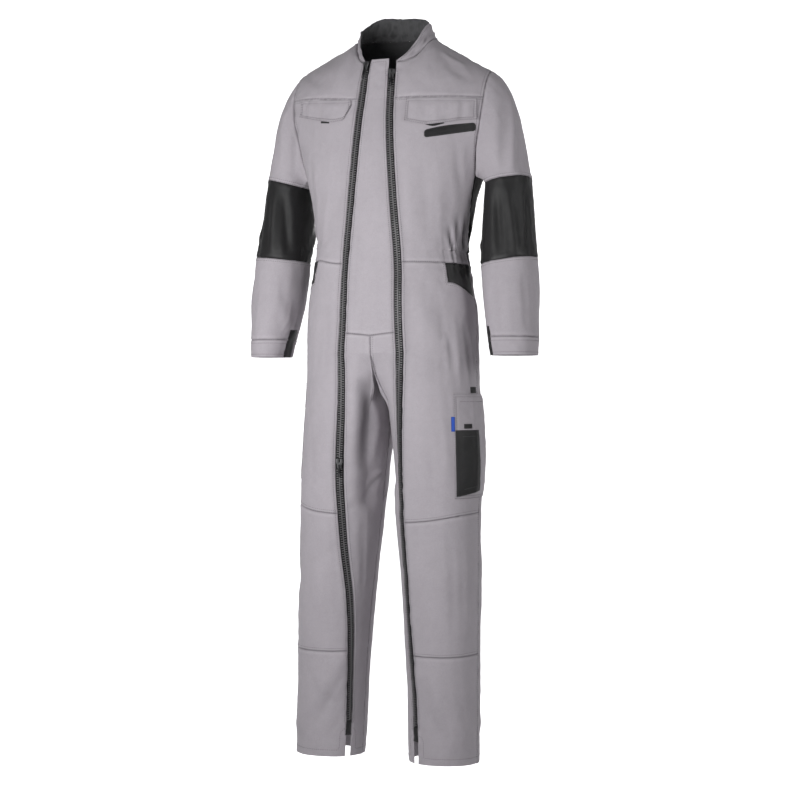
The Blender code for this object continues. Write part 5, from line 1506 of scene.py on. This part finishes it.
def patch(node, shape, side, ray, look, on=(), full=None, freeEdge=0.0, sideEdge=0.0, waves=(), seed=1, puff=0.0006):
    # a piece of cloth that lies on the suit or on another patch; waves are soft ridges across it, each with its
    # place, width and height
    size = patchSize
    middleRow = shape.at((shape.keys[0] + shape.keys[-1]) / 2)
    tall = float(middleRow["top"] - middleRow["bottom"])
    wide = shape.keys[-1] - shape.keys[0]
    if ray is thighRay:
        wide = math.radians(wide) * size["radius"]
    step = min(size["step"], min(tall, wide) / 3)
    near = [n for n in size["near"] if n < min(tall, wide) / 2.2]
    rights = np.array(spaced(0, wide, step, near, True, True))
    ups = np.array(spaced(0, tall, step, near, True, True))
    points, outs = [], []
    for up in ups / tall:
        for right in rights / wide:
            across = mix(shape.keys[0], shape.keys[-1], right)
            row = shape.at(across)
            height = float(mix(row["bottom"], row["top"], up))
            found = [surface.cast(*ray(across, height, side)) for surface in (*on, suitSurface)]
            place, out = next(hit for hit in found if hit)
            points.append(place + out * bulge(full, across, height))
            outs.append(out)
    rows, columns = len(ups), len(rights)
    points, outs = np.array(points), np.array(outs)
    right, up = (grid.reshape(-1) for grid in np.meshgrid(rights, ups))
    inside = np.minimum(np.minimum(right, wide - right), np.minimum(up, tall - up))
    beside = np.minimum(right, wide - right)
    lift = size["touch"] + cloth["thickness"] + puff * smooth((inside - size["puffFrom"]) / size["puffOver"])
    lift = lift - size["sewn"] * bell(inside - size["sewnAt"], size["sewnWidth"])
    lift = lift - size["edge"] * bell(inside, size["edgeWidth"])
    uneven = softNoise(points, size["unevenScale"], seed, 2) * smooth(inside / size["unevenOver"])
    lift = lift + size["uneven"] * uneven
    lift = lift + freeEdge * smooth(1 - up / size["freeOver"]) * (1.0 + 0.4 * np.sin(right * 90.0 + seed))
    lift = lift + sideEdge * smooth(1 - beside / size["sideOver"]) * smooth((tall - up) / size["sideTop"])
    for at, width, rise in waves:
        fade = smooth(up / 0.008 + 0.35) * smooth((tall - up) / 0.010)
        lift = lift + rise * fade * bell((right / wide - at - 0.02 * up / tall) * wide, width)
    outer = points + outs * lift[:, None]
    quads = gridQuads(rows, columns, side)
    weave = np.stack([right, up], -1)[quads]
    rubbed = bell(inside - size["rubbedAt"], size["rubbedWidth"]) * size["rubbed"]
    shadow = size["edgeShade"] * bell(inside, size["edgeShadeWidth"])
    shadow = shadow + 0.3 * bell(inside - size["sewnAt"], size["sewnShade"])
    normals = pointNormals(outer, quads)
    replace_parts(clothWall("cloth_" + node, outer, normals, quads, weave, rubbed, shadow, look), node)
    return dict(
        surface=Surface(outer, normals, trianglesOf(quads)),
        outer=outer.reshape(rows, columns, 3), outs=outs.reshape(rows, columns, 3), rights=rights, ups=ups,
    )


leftFlap = Sizes(
    "across top bottom",
    (0.067, 1.3885, 1.341),
    (0.111, 1.3885, 1.333),
    (0.149, 1.388, 1.337),
    (0.18, 1.388, 1.343),
    (0.205, 1.388, 1.345),
)
welt = Sizes(
    "across top bottom",
    (0.108, 1.317, 1.309),
    (0.111, 1.3218, 1.3056),
    (0.115, 1.323, 1.306),
    (0.196, 1.3379, 1.3209),
    (0.2, 1.3384, 1.3217),
    (0.203, 1.3345, 1.3265),
)
rightFlap = Sizes(
    "across top bottom",
    (0.055, 1.3885, 1.378),
    (0.068, 1.3885, 1.351),
    (0.085, 1.3885, 1.343),
    (0.122, 1.388, 1.343),
    (0.188, 1.388, 1.354),
)


def oblong(low, high, top, bottom):
    return Sizes("across top bottom", (low, top, bottom), (high, top, bottom))


cargoFull = (oblong(38, 138, 0.775, 0.558), 0.0045)
ruleFull = (oblong(63, 138, 0.743, 0.592), 0.004)
toolPocket = Sizes("across top bottom", (40, 0.700, 0.562), (80, 0.700, 0.573))
leftTab = Sizes(
    "across top bottom",
    (0.11, 1.337, 1.3325),
    (0.122, 1.339, 1.329),
    (0.146, 1.343, 1.3345),
)
patches = dict(
    leftTab=patch("flap_tab_left", leftTab, "left", chestRay, "black", puff=0.0003),
    rightTab=patch("flap_tab_right", oblong(0.106, 0.128, 1.3480, 1.3390), "right", chestRay, "black", puff=0.0003),
    leftFlap=patch(
        "chest_flap_left", leftFlap, "left", chestRay, "grey", freeEdge=0.0024, sideEdge=0.0014, puff=0.0018,
        waves=((0.16, 0.006, 0.0018), (0.30, 0.005, -0.0014), (0.44, 0.007, 0.0014), (0.60, 0.005, -0.0012),
               (0.72, 0.004, 0.0018), (0.80, 0.003, -0.0016), (0.88, 0.004, 0.0014)),
    ),
    rightFlap=patch(
        "chest_flap_right", rightFlap, "right", chestRay, "grey", freeEdge=0.0022, sideEdge=0.0012, puff=0.0016,
        seed=3,
        waves=((0.30, 0.008, 0.0012), (0.55, 0.006, -0.0012), (0.78, 0.005, 0.0020), (0.86, 0.004, -0.0018),
               (0.93, 0.004, 0.0014)),
    ),
    welt=patch("chest_welt", welt, "left", chestRay, "black", puff=0.0006, seed=4),
    cargo=patch(
        "cargo_pocket", cargoFull[0], "left", thighRay, "grey", full=cargoFull, seed=5,
        waves=((0.30, 0.007, 0.0016), (0.62, 0.010, -0.0014), (0.80, 0.008, 0.0016)),
    ),
    rule=patch(
        "rule_pocket", ruleFull[0], "right", thighRay, "grey", full=ruleFull, seed=8,
        waves=((0.35, 0.008, 0.0014), (0.70, 0.008, -0.0014)),
    ),
)
onCargo = (patches["cargo"]["surface"],)
patches.update(
    tool=patch("tool_pocket", toolPocket, "left", thighRay, "black", on=onCargo, seed=6, puff=0.0012),
    toolTab=patch("tool_pocket_tab", oblong(52, 65, 0.7130, 0.7030), "left", thighRay, "black", on=onCargo),
    cargoTab=patch("cargo_tab", oblong(69, 86, 0.7900, 0.7765), "left", thighRay, "black", puff=0.0010),
    blueTab=patch("side_tab", oblong(35.0, 39.5, 0.728, 0.697), "left", thighRay, "blue", on=onCargo),
    ruleBand=patch("rule_pocket_band", oblong(63, 138, 0.800, 0.745), "right", thighRay, "black", seed=9, puff=0.0008),
)
print("pockets and flaps made:", len(patches))

# ---- zips

zipSize = dict(
    pitch=0.0050, chainLift=0.00155, spacing=0.004, pivotOut=0.0064, pivotUp=0.001, chainTop=0.0026, start=0.004,
    end=0.003, hiddenBelow=0.0078, hiddenAbove=0.0152,
)
rootSection, neckSection, headSection = (-0.0060, 0.0011, 0.00085), (-0.0028, 0.0006, 0.0006), (0.0011, 0.0011, 0.0010)


def meshObject(name, points, edges=(), faces=(), **directions):
    # a plain mesh, with the directions that are kept at its points
    data = bpy.data.meshes.new(name)
    data.from_pydata(np.asarray(points).tolist(), np.asarray(edges).tolist(), list(faces))
    for key, values in directions.items():
        mark = data.attributes.new(key, "FLOAT_VECTOR", "POINT")
        mark.data.foreach_set("vector", np.asarray(values, np.float32).reshape(-1))
    return inScene(name, data)


def toothObject():
    # one moulded tooth, from its root on the tape to its head past the middle of the zip
    points, faces = [], []
    for across, along, out in (rootSection, neckSection, headSection):
        points += [(across, -along, -out), (across, along, -out), (across, along, out), (across, -along, out)]
    for row in (0, 4):
        faces += [[row + k, row + (k + 1) % 4, row + 4 + (k + 1) % 4, row + 4 + k] for k in range(4)]
    faces += [[3, 2, 1, 0], [8, 9, 10, 11]]
    return meshObject("tooth", points, faces=[face[::-1] for face in faces])


class Tree:
    # a node tree for geometry, with named inputs

    def __init__(self, name):
        self.group = bpy.data.node_groups.new(name, "GeometryNodeTree")
        self.input("Geometry", "NodeSocketGeometry")
        self.group.interface.new_socket("Geometry", in_out="OUTPUT", socket_type="NodeSocketGeometry")
        self.into = self.group.nodes.new("NodeGroupInput")
        self.out = self.group.nodes.new("NodeGroupOutput")

    def input(self, name, kind):
        self.group.interface.new_socket(name, in_out="INPUT", socket_type=kind)

    def node(self, kind, inputs=None, **settings):
        made = self.group.nodes.new(kind)
        for key, value in settings.items():
            setattr(made, key, value)
        for key, value in (inputs or {}).items():
            if isinstance(value, bpy.types.NodeSocket):
                self.group.links.new(value, made.inputs[key])
            else:
                made.inputs[key].default_value = value
        return made

    def vector(self, name):
        return self.node("GeometryNodeInputNamedAttribute", {"Name": name}, data_type="FLOAT_VECTOR").outputs[0]

    def ending(self, instances):
        plain = self.node("GeometryNodeRealizeInstances", {"Geometry": instances})
        painted = self.node("GeometryNodeSetMaterial", {0: plain.outputs[0], "Material": self.into.outputs["Material"]})
        self.group.links.new(painted.outputs[0], self.out.inputs[0])

    def facing(self, out, along):
        turn = self.node("FunctionNodeAxesToRotation", primary_axis="Z", secondary_axis="X")
        self.group.links.new(out, turn.inputs[0])
        self.group.links.new(along, turn.inputs[1])
        return turn.outputs[0]


def repeatTree():
    # puts one object at every point of a mesh, turned by the point's own directions
    tree = Tree("repeat")
    tree.input("Piece", "NodeSocketObject")
    tree.input("Material", "NodeSocketMaterial")
    piece = tree.node("GeometryNodeObjectInfo", {"Object": tree.into.outputs["Piece"]})
    turn = tree.facing(tree.vector("out"), tree.vector("across"))
    values = {"Points": tree.into.outputs["Geometry"], "Instance": piece.outputs["Geometry"], "Rotation": turn}
    placed = tree.node("GeometryNodeInstanceOnPoints", values)
    tree.ending(placed.outputs[0])
    return tree.group


def stitchTree():
    # small sewn stitches at even steps along the edges of a mesh
    tree = Tree("stitches")
    for name in ("Pitch", "Length", "Width", "Height"):
        tree.input(name, "NodeSocketFloat")
    tree.input("Material", "NodeSocketMaterial")
    curve = tree.node("GeometryNodeMeshToCurve", {0: tree.into.outputs["Geometry"]})
    values = {"Curve": curve.outputs[0], "Length": tree.into.outputs["Pitch"]}
    even = tree.node("GeometryNodeResampleCurve", values, mode="LENGTH")
    ball = tree.node("GeometryNodeMeshUVSphere", {"Segments": 6, "Rings": 3, "Radius": 0.5})
    sizes = [tree.into.outputs[name] for name in ("Length", "Width", "Height")]
    size = tree.node("ShaderNodeCombineXYZ", dict(enumerate(sizes)))
    stitch = tree.node("GeometryNodeTransform", {"Geometry": ball.outputs[0], "Scale": size.outputs[0]})
    turn = tree.facing(tree.vector("out"), tree.node("GeometryNodeInputTangent").outputs[0])
    values = {"Points": even.outputs[0], "Instance": stitch.outputs[0], "Rotation": turn}
    placed = tree.node("GeometryNodeInstanceOnPoints", values)
    tree.ending(placed.outputs[0])
    return tree.group


def grown(name, source, tree, look, **values):
    # the plain mesh that a node tree makes from a source object, which is then removed
    change = source.modifiers.new("grow", "NODES")
    change.node_group = tree
    values["Material"] = looks[look]
    for item in tree.interface.items_tree:
        if item.in_out == "INPUT" and item.name in values:
            change[item.identifier] = values[item.name]
    graph = bpy.context.evaluated_depsgraph_get()
    data = bpy.data.meshes.new_from_object(source.evaluated_get(graph))
    bpy.data.objects.remove(source, do_unlink=True)
    data.name = name
    return finished(name, data, look)


def softened(values, reach=2):
    padded = np.concatenate([values[:1]] * reach + [values] + [values[-1:]] * reach)
    return sum(padded[k : k + len(values)] for k in range(2 * reach + 1)) / (2 * reach + 1)


def unit(values):
    return values / np.linalg.norm(values, axis=-1)[..., None]


def zipPoints(column, side):
    # places up the zip at one column, from the facing at the hem to the top
    legs = legPoint(column, np.arange(seam["facing"] - 0.004, seam["fork"], zipSize["spacing"]), side)
    body = bodyPoint(column, np.arange(seam["fork"], seam["underarm"], zipSize["spacing"]), side)
    chest = sheetPoint(column, np.arange(seam["underarm"], seam["chest"], zipSize["spacing"]), side)
    yoke = yokePoint(column, np.linspace(0, zipTop[side] - 0.01, 30), side)
    return settled(np.concatenate([legs, body, chest, yoke]) * mirror[side])


class Zip:
    # the middle line of a zip, with directions across, out and up

    def __init__(self, side):
        middle, _ = carried(zipPoints(2.5, side))
        low, _ = carried(zipPoints(2.25, side))
        high, _ = carried(zipPoints(2.75, side))
        self.middle = softened(middle)
        across = softened(high - low, 4) * (1 if side == "left" else -1)
        self.up = unit(softened(np.gradient(self.middle, axis=0), 3))
        self.out = unit(np.cross(across, self.up))
        self.across = unit(np.cross(self.up, self.out))
        steps = np.linalg.norm(np.diff(self.middle, axis=0), axis=1)
        self.along = np.concatenate([[0], np.cumsum(steps)])

    def at(self, along):
        pick = [np.stack([np.interp(along, self.along, values[:, k]) for k in range(3)], -1)
                for values in (self.middle, self.across, self.out, self.up)]
        return pick[0], unit(pick[1]), unit(pick[2]), unit(pick[3])

    def alongAt(self, height):
        return float(np.interp(height, self.middle[:, 2], self.along))


def teeth(side, line, tooth, tree, sliders):
    # the slider that rides on them hides those under it
    total = line.along[-1] - zipSize["end"]
    places, acrosses, outs = [], [], []
    for sign, later in ((1, 0), (-1, 0.5)):
        along = np.arange(zipSize["start"] + later * zipSize["pitch"], total, zipSize["pitch"])
        for slider in sliders:
            along = along[(along < slider - zipSize["hiddenBelow"]) | (along > slider + zipSize["hiddenAbove"])]
        middle, across, out, _ = line.at(along)
        places.append(middle + out * zipSize["chainLift"] - down)
        acrosses.append(across * sign)
        outs.append(out)
    directions = dict(across=np.concatenate(acrosses), out=np.concatenate(outs))
    source = meshObject("teeth_points", np.concatenate(places), **directions)
    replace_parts(grown(f"zip_teeth_{side}", source, tree, "teeth", Piece=tooth), f"zip_chain_{side}")


def plate(rows, low, high, round=0.00025):
    # a flat shape from rows of (along, outer half width, inner half width), between two levels
    mesh = bmesh.new()
    lines = []
    for along, outer, inner in rows:
        lines.append([mesh.verts.new((across, along, low)) for across in (-outer, -inner, inner, outer)])
    for first, second in zip(lines, lines[1:]):
        for a, b in ((0, 1), (2, 3)):
            mesh.faces.new([first[a], first[b], second[b], second[a]])
    bmesh.ops.remove_doubles(mesh, verts=mesh.verts, dist=1e-6)
    flat = list(mesh.faces)
    raised = bmesh.ops.extrude_face_region(mesh, geom=flat)["geom"]
    bmesh.ops.translate(mesh, vec=(0, 0, high - low), verts=[v for v in raised if isinstance(v, bmesh.types.BMVert)])
    bmesh.ops.recalc_face_normals(mesh, faces=mesh.faces)
    rims = [edge for edge in mesh.edges if edge.is_manifold and edge.calc_face_angle(0) > 0.9]
    bmesh.ops.bevel(mesh, geom=rims, offset=round, segments=2, profile=0.6, affect="EDGES", clamp_overlap=True)
    return mesh


def block(mesh, low, high, round=0.0003):
    made = bmesh.ops.create_cube(mesh, size=1.0)["verts"]
    low, high = Vector(low), Vector(high)
    for vertex in made:
        vertex.co = Vector([(low[k] + high[k]) / 2 + vertex.co[k] * (high[k] - low[k]) for k in range(3)])
    edges = list({edge for vertex in made for edge in vertex.link_edges})
    bmesh.ops.bevel(mesh, geom=edges, offset=round, segments=2, profile=0.6, affect="EDGES")


def rod(mesh, halfLength, radius, middle):
    made = bmesh.ops.create_cone(
        mesh, cap_ends=True, segments=12, radius1=radius, radius2=radius, depth=2 * halfLength
    )["verts"]
    for vertex in made:
        x, y, z = vertex.co
        vertex.co = Vector((z + middle[0], x + middle[1], y + middle[2]))


def placed(name, mesh, origin, across, up, out, look, body):
    data = bpy.data.meshes.new(name)
    mesh.to_mesh(data)
    mesh.free()
    points = np.empty(len(data.vertices) * 3)
    data.vertices.foreach_get("co", points)
    points = points.reshape(-1, 3) @ np.array([across, up, out]) + origin
    data.vertices.foreach_set("co", points.reshape(-1))
    data.shade_smooth()
    data.set_sharp_from_angle(angle=math.radians(38))
    return finished(name, data, look, body)


def sliderMesh():
    top = zipSize["chainTop"]
    rows = [
        (-0.0064, 0.0026, 0.0), (-0.0058, 0.0040, 0.0), (-0.0044, 0.0048, 0.0), (-0.0010, 0.0050, 0.0),
        (0.0020, 0.0054, 0.0), (0.0050, 0.0066, 0.0), (0.0066, 0.0070, 0.0009), (0.0100, 0.0072, 0.0012),
        (0.0122, 0.0070, 0.0008), (0.0130, 0.0064, 0.0), (0.0138, 0.0050, 0.0),
    ]
    mesh = plate(rows, top, 0.0047, 0.0006)
    for sign in (-1, 1):
        low, high = sorted((sign * 0.0034, sign * 0.0042))
        block(mesh, (low, -0.0046, 0.0009), (high, 0.0046, 0.0032))
        low, high = sorted((sign * 0.0019, sign * 0.0031))
        block(mesh, (low, -0.0016, 0.0042), (high, 0.0038, 0.0072), 0.0005)
    rod(mesh, 0.0029, 0.00048, (0, zipSize["pivotUp"], zipSize["pivotOut"]))
    return mesh


pullRows = (
    (-0.0017, 0.0005, 0.0), (-0.0013, 0.0011, 0.0), (-0.0008, 0.0014, 0.0), (-0.0005, 0.0015, 0.0006),
    (0.0, 0.0016, 0.0008), (0.0005, 0.0015, 0.0006), (0.0008, 0.0014, 0.0), (0.0030, 0.0012, 0.0),
    (0.0062, 0.0013, 0.0), (0.0078, 0.0024, 0.0), (0.0095, 0.0026, 0.0), (0.0160, 0.0025, 0.0),
    (0.0172, 0.0026, 0.0), (0.0184, 0.0028, 0.0012), (0.0205, 0.0030, 0.0017), (0.0230, 0.0029, 0.0015),
    (0.0243, 0.0026, 0.0008), (0.0250, 0.0024, 0.0), (0.0260, 0.0016, 0.0),
)


def sliderAndPull(name, joint, line):
    pivot = np.array(joint["pos_m"])
    across = -unit(np.array(joint["axis"]))
    _, _, _, up = line.at(line.alongAt(pivot[2] + neckHeight))
    up = unit(up - across * float(up @ across))
    out = np.cross(across, up)
    if out[1] > 0:
        out, up = -out, up
    foot = pivot - out * zipSize["pivotOut"] - up * zipSize["pivotUp"]
    made = placed(f"slider_body_{name}", sliderMesh(), foot, across, up, out, "metal", "suit")
    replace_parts(made, f"slider_{name}")
    mesh = plate([(-along, outer, inner) for along, outer, inner in pullRows], -0.0006, 0.0006, 0.0002)
    made = placed(f"pull_tab_{name}", mesh, pivot, across, up, out, "darkMetal", f"pull_tab_{name}")
    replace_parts(made, f"pull_{name}")


tooth = toothObject()
repeats = repeatTree()
zips = {side: Zip(side) for side in ("left", "right")}
for side, line in zips.items():
    pivots = [joint["pos_m"][2] for joint in frame["joints"] if joint["name"].endswith(side)]
    teeth(side, line, tooth, repeats, [line.alongAt(height + neckHeight) for height in pivots])
bpy.data.objects.remove(tooth, do_unlink=True)
for joint in frame["joints"]:
    name = joint["name"].removeprefix("pull_hinge_")
    sliderAndPull(name, joint, zips[name.split("_")[1]])
print("zips made")

# ---- sewing

# pieces, what is beyond their seam ("" for an open edge), how far the rows of stitches lie from it in mm, and the
# thread where it isn't grey
sewing = (
    (("chest", "centre_front", "front_yoke", "thigh", "knee", "shin", "inner_front"), "zip_tape", (5.5,)),
    (("front_yoke",), "chest", (1.6,)),
    (("chest",), "front_yoke", (5.5,)),
    (("front_yoke", "chest", "back_yoke", "back_panel"), "sleeve_upper", (1.6, 7.0)),
    (("front_yoke",), "back_yoke", (1.6, 6.5)),
    (("back_panel",), "back_yoke", (1.6, 6.5)),
    (("chest", "back_panel"), "side_panel", (1.6,)),
    (("chest",), "thigh", (1.6,)),
    (("waistband",), "chest", (2.5,)),
    (("waistband",), "back_panel", (2.5, 8.5, 14.5, 20.5)),
    (("waistband",), "side_panel", (2.5, 8.5, 14.5, 20.5)),
    (("centre_front",), "inner_front", (1.6,)),
    (("centre_front",), "", (6.0,)),
    (("thigh",), "pocket_inset", (1.8, 7.0)),
    (("thigh",), "knee", (1.6, 6.5)),
    (("knee",), "shin", (1.6, 6.5)),
    (("thigh", "knee", "shin"), "back_leg", (1.6, 6.5)),
    (("inner_front",), "back_leg", (1.6,)),
    (("inner_front_left",), "inner_front_right", (1.6, 6.5)),
    (("back_leg_upper_left",), "back_leg_upper_right", (1.6, 6.5)),
    (("back_leg_upper",), "back_leg_lower", (1.6, 6.5)),
    (("back_leg_upper",), "waistband", (1.8,)),
    (("sleeve_upper", "forearm"), "elbow", (1.6, 6.5)),
    (("cuff",), "forearm", (1.6,)),
    (("cuff",), "", (6.0, 30.0)),
    (("placket",), "cuff", (2.0,), "blackThread"),
    (("shin", "inner_front", "back_leg_lower"), "", (14.0,)),
    (("collar_outer",), "front_yoke", (1.4,)),
    (("collar_outer",), "back_yoke", (1.4,)),
    (("collar_outer",), "", (4.5,)),
    (("hem_facing",), "", (2.0,), "blackThread"),
    (("back_yoke",), "collar_outer", (2.0,), "blackThread"),
)
stitchSize = dict(Pitch=0.0046, Length=0.0034, Width=0.0015, Height=0.0014)
stitchLift = 0.0001


def lineBeside(piece, beyond, distance):
    # where a piece is exactly so far from one of its seams, as points, outward directions and edges
    mine = skin.names.index(piece)
    theirs = marksOf(beyond) if beyond else [-1]
    owners = skin.owners
    forward = (owners[:, 0] == mine) & np.isin(owners[:, 1], theirs)
    backward = (owners[:, 1] == mine) & np.isin(owners[:, 0], theirs)
    seamLine = skin.edges[forward | backward]
    if len(seamLine) == 0:
        return None
    faces = skin.triangles[np.tile(skin.marks == mine, 2)]
    used, corners = np.unique(faces, return_inverse=True)
    corners = corners.reshape(-1, 3)
    level = distanceToLine(skin.points[used], seamLine) - distance
    ends = np.concatenate([corners[:, [k, (k + 1) % 3]] for k in range(3)])
    owner = np.tile(np.arange(len(corners)), 3)
    crossed = (level[ends[:, 0]] > 0) != (level[ends[:, 1]] > 0)
    ends, owner = np.sort(ends[crossed], axis=1), owner[crossed]
    if len(ends) == 0:
        return None
    places, index = np.unique(ends, axis=0, return_inverse=True)
    index = index.reshape(-1)
    order = np.argsort(owner, kind="stable")
    edges = index[order].reshape(-1, 2)
    share = level[places[:, 0]] / (level[places[:, 0]] - level[places[:, 1]])
    first, second = used[places[:, 0]], used[places[:, 1]]
    points = mix(skin.points[first], skin.points[second], share[:, None])
    outs = mix(skin.normals[first], skin.normals[second], share[:, None])
    return points, unit(outs), edges


def distanceToLine(points, edges):
    starts, ends = skin.points[edges[:, 0]], skin.points[edges[:, 1]]
    places = np.concatenate([mix(starts, ends, t) for t in (0.0, 0.25, 0.5, 0.75)] + [ends])
    return awayFrom(places, points)


class Rows:
    # rows of stitches gathered into one source

    def __init__(self):
        self.points, self.outs, self.edges, self.count = [], [], [], 0

    def add(self, points, outs, edges):
        self.points.append(points)
        self.outs.append(outs)
        self.edges.append(edges + self.count)
        self.count += len(points)

    def line(self, points, outs):
        steps = np.arange(len(points) - 1)
        self.add(np.asarray(points), np.asarray(outs), np.stack([steps, steps + 1], -1))


rows = {}
for pieces, beyond, distances, *threads in sewing:
    for piece in skin.names:
        if not piece.startswith(pieces):
            continue
        for distance in distances:
            found = lineBeside(piece, beyond, distance / 1000)
            if found is None:
                continue
            part = "legs" if found[0][:, 2].mean() < seam["fork"] else "top"
            rows.setdefault((*threads, "greyThread")[0] + " " + part, Rows()).add(*found)


def patchRow(made, inset, edges, thread="greyThread"):
    # stitches round a patch, so far in from its edges
    rights, ups = made["rights"], made["ups"]
    wide, tall = rights[-1], ups[-1]
    runs = dict(
        left=[(inset, up) for up in ups[(ups >= inset) & (ups <= tall - inset)]],
        right=[(wide - inset, up) for up in ups[(ups >= inset) & (ups <= tall - inset)]],
        top=[(right, tall - inset) for right in rights[(rights >= inset) & (rights <= wide - inset)]],
        bottom=[(right, inset) for right in rights[(rights >= inset) & (rights <= wide - inset)]],
    )
    for edge in edges.split():
        places, outs = [], []
        for right, up in runs[edge]:
            i = int(np.clip(np.searchsorted(ups, up) - 1, 0, len(ups) - 2))
            j = int(np.clip(np.searchsorted(rights, right) - 1, 0, len(rights) - 2))
            s, t = (up - ups[i]) / (ups[i + 1] - ups[i]), (right - rights[j]) / (rights[j + 1] - rights[j])
            grid, out = made["outer"], made["outs"]
            low, high = mix(grid[i, j], grid[i, j + 1], t), mix(grid[i + 1, j], grid[i + 1, j + 1], t)
            places.append(mix(low, high, s) + out[i, j] * stitchLift)
            outs.append(out[i, j])
        rows.setdefault(thread + " pockets", Rows()).line(places, outs)


# pocket or flap, how far its row of stitches lies from its edges in mm, which edges, and the thread where it isn't grey
allSides, threeSides = "left right top bottom", "left right bottom"
patchRows = (
    ("leftFlap", 5.5, threeSides), ("leftFlap", 1.8, threeSides),
    ("rightFlap", 5.5, threeSides), ("rightFlap", 1.8, threeSides),
    ("welt", 1.6, allSides, "blackThread"), ("leftTab", 1.4, allSides, "blackThread"),
    ("rightTab", 1.4, allSides, "blackThread"), ("cargo", 1.8, threeSides), ("cargo", 6.5, threeSides),
    ("cargo", 16, "top"), ("tool", 1.8, threeSides, "blackThread"), ("tool", 13, "top bottom", "blackThread"),
    ("toolTab", 1.4, allSides, "blackThread"), ("cargoTab", 1.4, allSides, "blackThread"),
    ("rule", 1.8, threeSides), ("rule", 6.5, threeSides), ("ruleBand", 1.8, allSides, "blackThread"),
)
for name, inset, *others in patchRows:
    patchRow(patches[name], inset / 1000, *others)
stitches = stitchTree()
for key, found in rows.items():
    thread, part = key.split()
    points, edges = np.concatenate(found.points) - down, np.concatenate(found.edges)
    source = meshObject("stitch_rows", points, edges, out=np.concatenate(found.outs))
    grown(f"stitches_{part}_{thread}", source, stitches, thread, **stitchSize)
print("stitches sewn")

# each sheet of cloth: how it is held, what it hangs from or lies on (* is its own side), and the width, length and
# area that it is cut to, left and right where there are two
cuts = dict(
    front_yoke=("hung", "back_yoke", (0.211, 0.14, 0.0236), (0.217, 0.14, 0.0244)),
    back_yoke=("hung", "", (0.46, 0.194, 0.0768)),
    chest=("hung", "front_yoke_*", (0.215, 0.345, 0.0638), (0.205, 0.361, 0.0635)),
    centre_front=("hung", "zip_tape_left", (0.096, 0.572, 0.047)),
    side_panel=("gathered", "back_panel", (0.095, 0.164, 0.0134), (0.098, 0.16, 0.0135)),
    back_panel=("gathered", "back_yoke", (0.44, 0.338, 0.1278)),
    waistband=("gathered", "back_panel", (0.62, 0.0435, 0.0232)),
    pocket_inset=("gathered", "waistband", (0.102, 0.068, 0.00599), (0.104, 0.072, 0.00647)),
    thigh=("hung", "chest_*", (0.226, 0.54, 0.1048), (0.208, 0.536, 0.0959)),
    knee=("hung", "thigh_*", (0.216, 0.294, 0.0547), (0.219, 0.309, 0.0581)),
    shin=("hung", "knee_*", (0.194, 0.227, 0.0378), (0.228, 0.227, 0.0445)),
    inner_front=("hung", "centre_front", (0.105, 0.896, 0.0811), (0.104, 0.896, 0.0803)),
    back_leg_lower=("hung", "back_leg_upper_*", (0.288, 0.655, 0.1624), (0.289, 0.655, 0.163)),
    back_leg_upper=("gathered", "waistband", (0.294, 0.5, 0.1265), (0.298, 0.5, 0.128)),
    hem_facing=("hung", "zip_tape_*", (0.0165, 0.03, 0.00047), (0.0165, 0.0325, 0.00051)),
    zip_tape=("hung", "chest_*", (0.0183, 1.36, 0.0241), (0.0184, 1.388, 0.0247)),
    sleeve_upper=("hung", "back_yoke", (0.281, 0.237, 0.0572), (0.267, 0.245, 0.0562)),
    elbow=("hung", "sleeve_upper_*", (0.421, 0.185, 0.0669), (0.415, 0.185, 0.066)),
    forearm=("hung", "elbow_*", (0.431, 0.167, 0.0618), (0.43, 0.183, 0.0677)),
    cuff=("hung", "forearm_*", (0.332, 0.0449, 0.0128), (0.298, 0.0449, 0.0115)),
    placket=("hung", "cuff_*", (0.0285, 0.061, 0.00165), (0.0352, 0.061, 0.00204)),
    collar_inner=("laid", "collar_outer", (0.42, 0.0409, 0.0148)),
    collar_outer=("hung", "back_yoke", (0.42, 0.0413, 0.0149)),
    cargo_pocket=("laid", "thigh_left", (0.184, 0.217, 0.0387)),
    cargo_tab=("laid", "thigh_left", (0.028, 0.0142, 0.00039)),
    chest_flap=("laid", "chest_*", (0.156, 0.057, 0.00795), (0.13, 0.052, 0.00611)),
    chest_welt=("laid", "chest_left", (0.112, 0.0204, 0.00212)),
    flap_tab=("laid", "chest_*", (0.036, 0.0111, 0.00039), (0.0222, 0.011, 0.00024)),
    rule_pocket=("laid", "thigh_right", (0.136, 0.151, 0.0199)),
    rule_pocket_band=("laid", "thigh_right", (0.127, 0.063, 0.00688)),
    side_tab=("laid", "cargo_pocket", (0.0101, 0.0289, 0.00028)),
    tool_pocket=("laid", "cargo_pocket", (0.076, 0.138, 0.0102)),
    tool_pocket_tab=("laid", "cargo_pocket", (0.0232, 0.011, 0.00025)),
)
for node, (held, carrier, *sizes) in cuts.items():
    for side, (width, length, area) in zip(("left", "right"), sizes):
        made = bpy.data.objects["cloth_" + (f"{node}_{side}" if len(sizes) > 1 else node)]
print("sheets stated:", sum(len(sizes) for _, _, *sizes in cuts.values()))
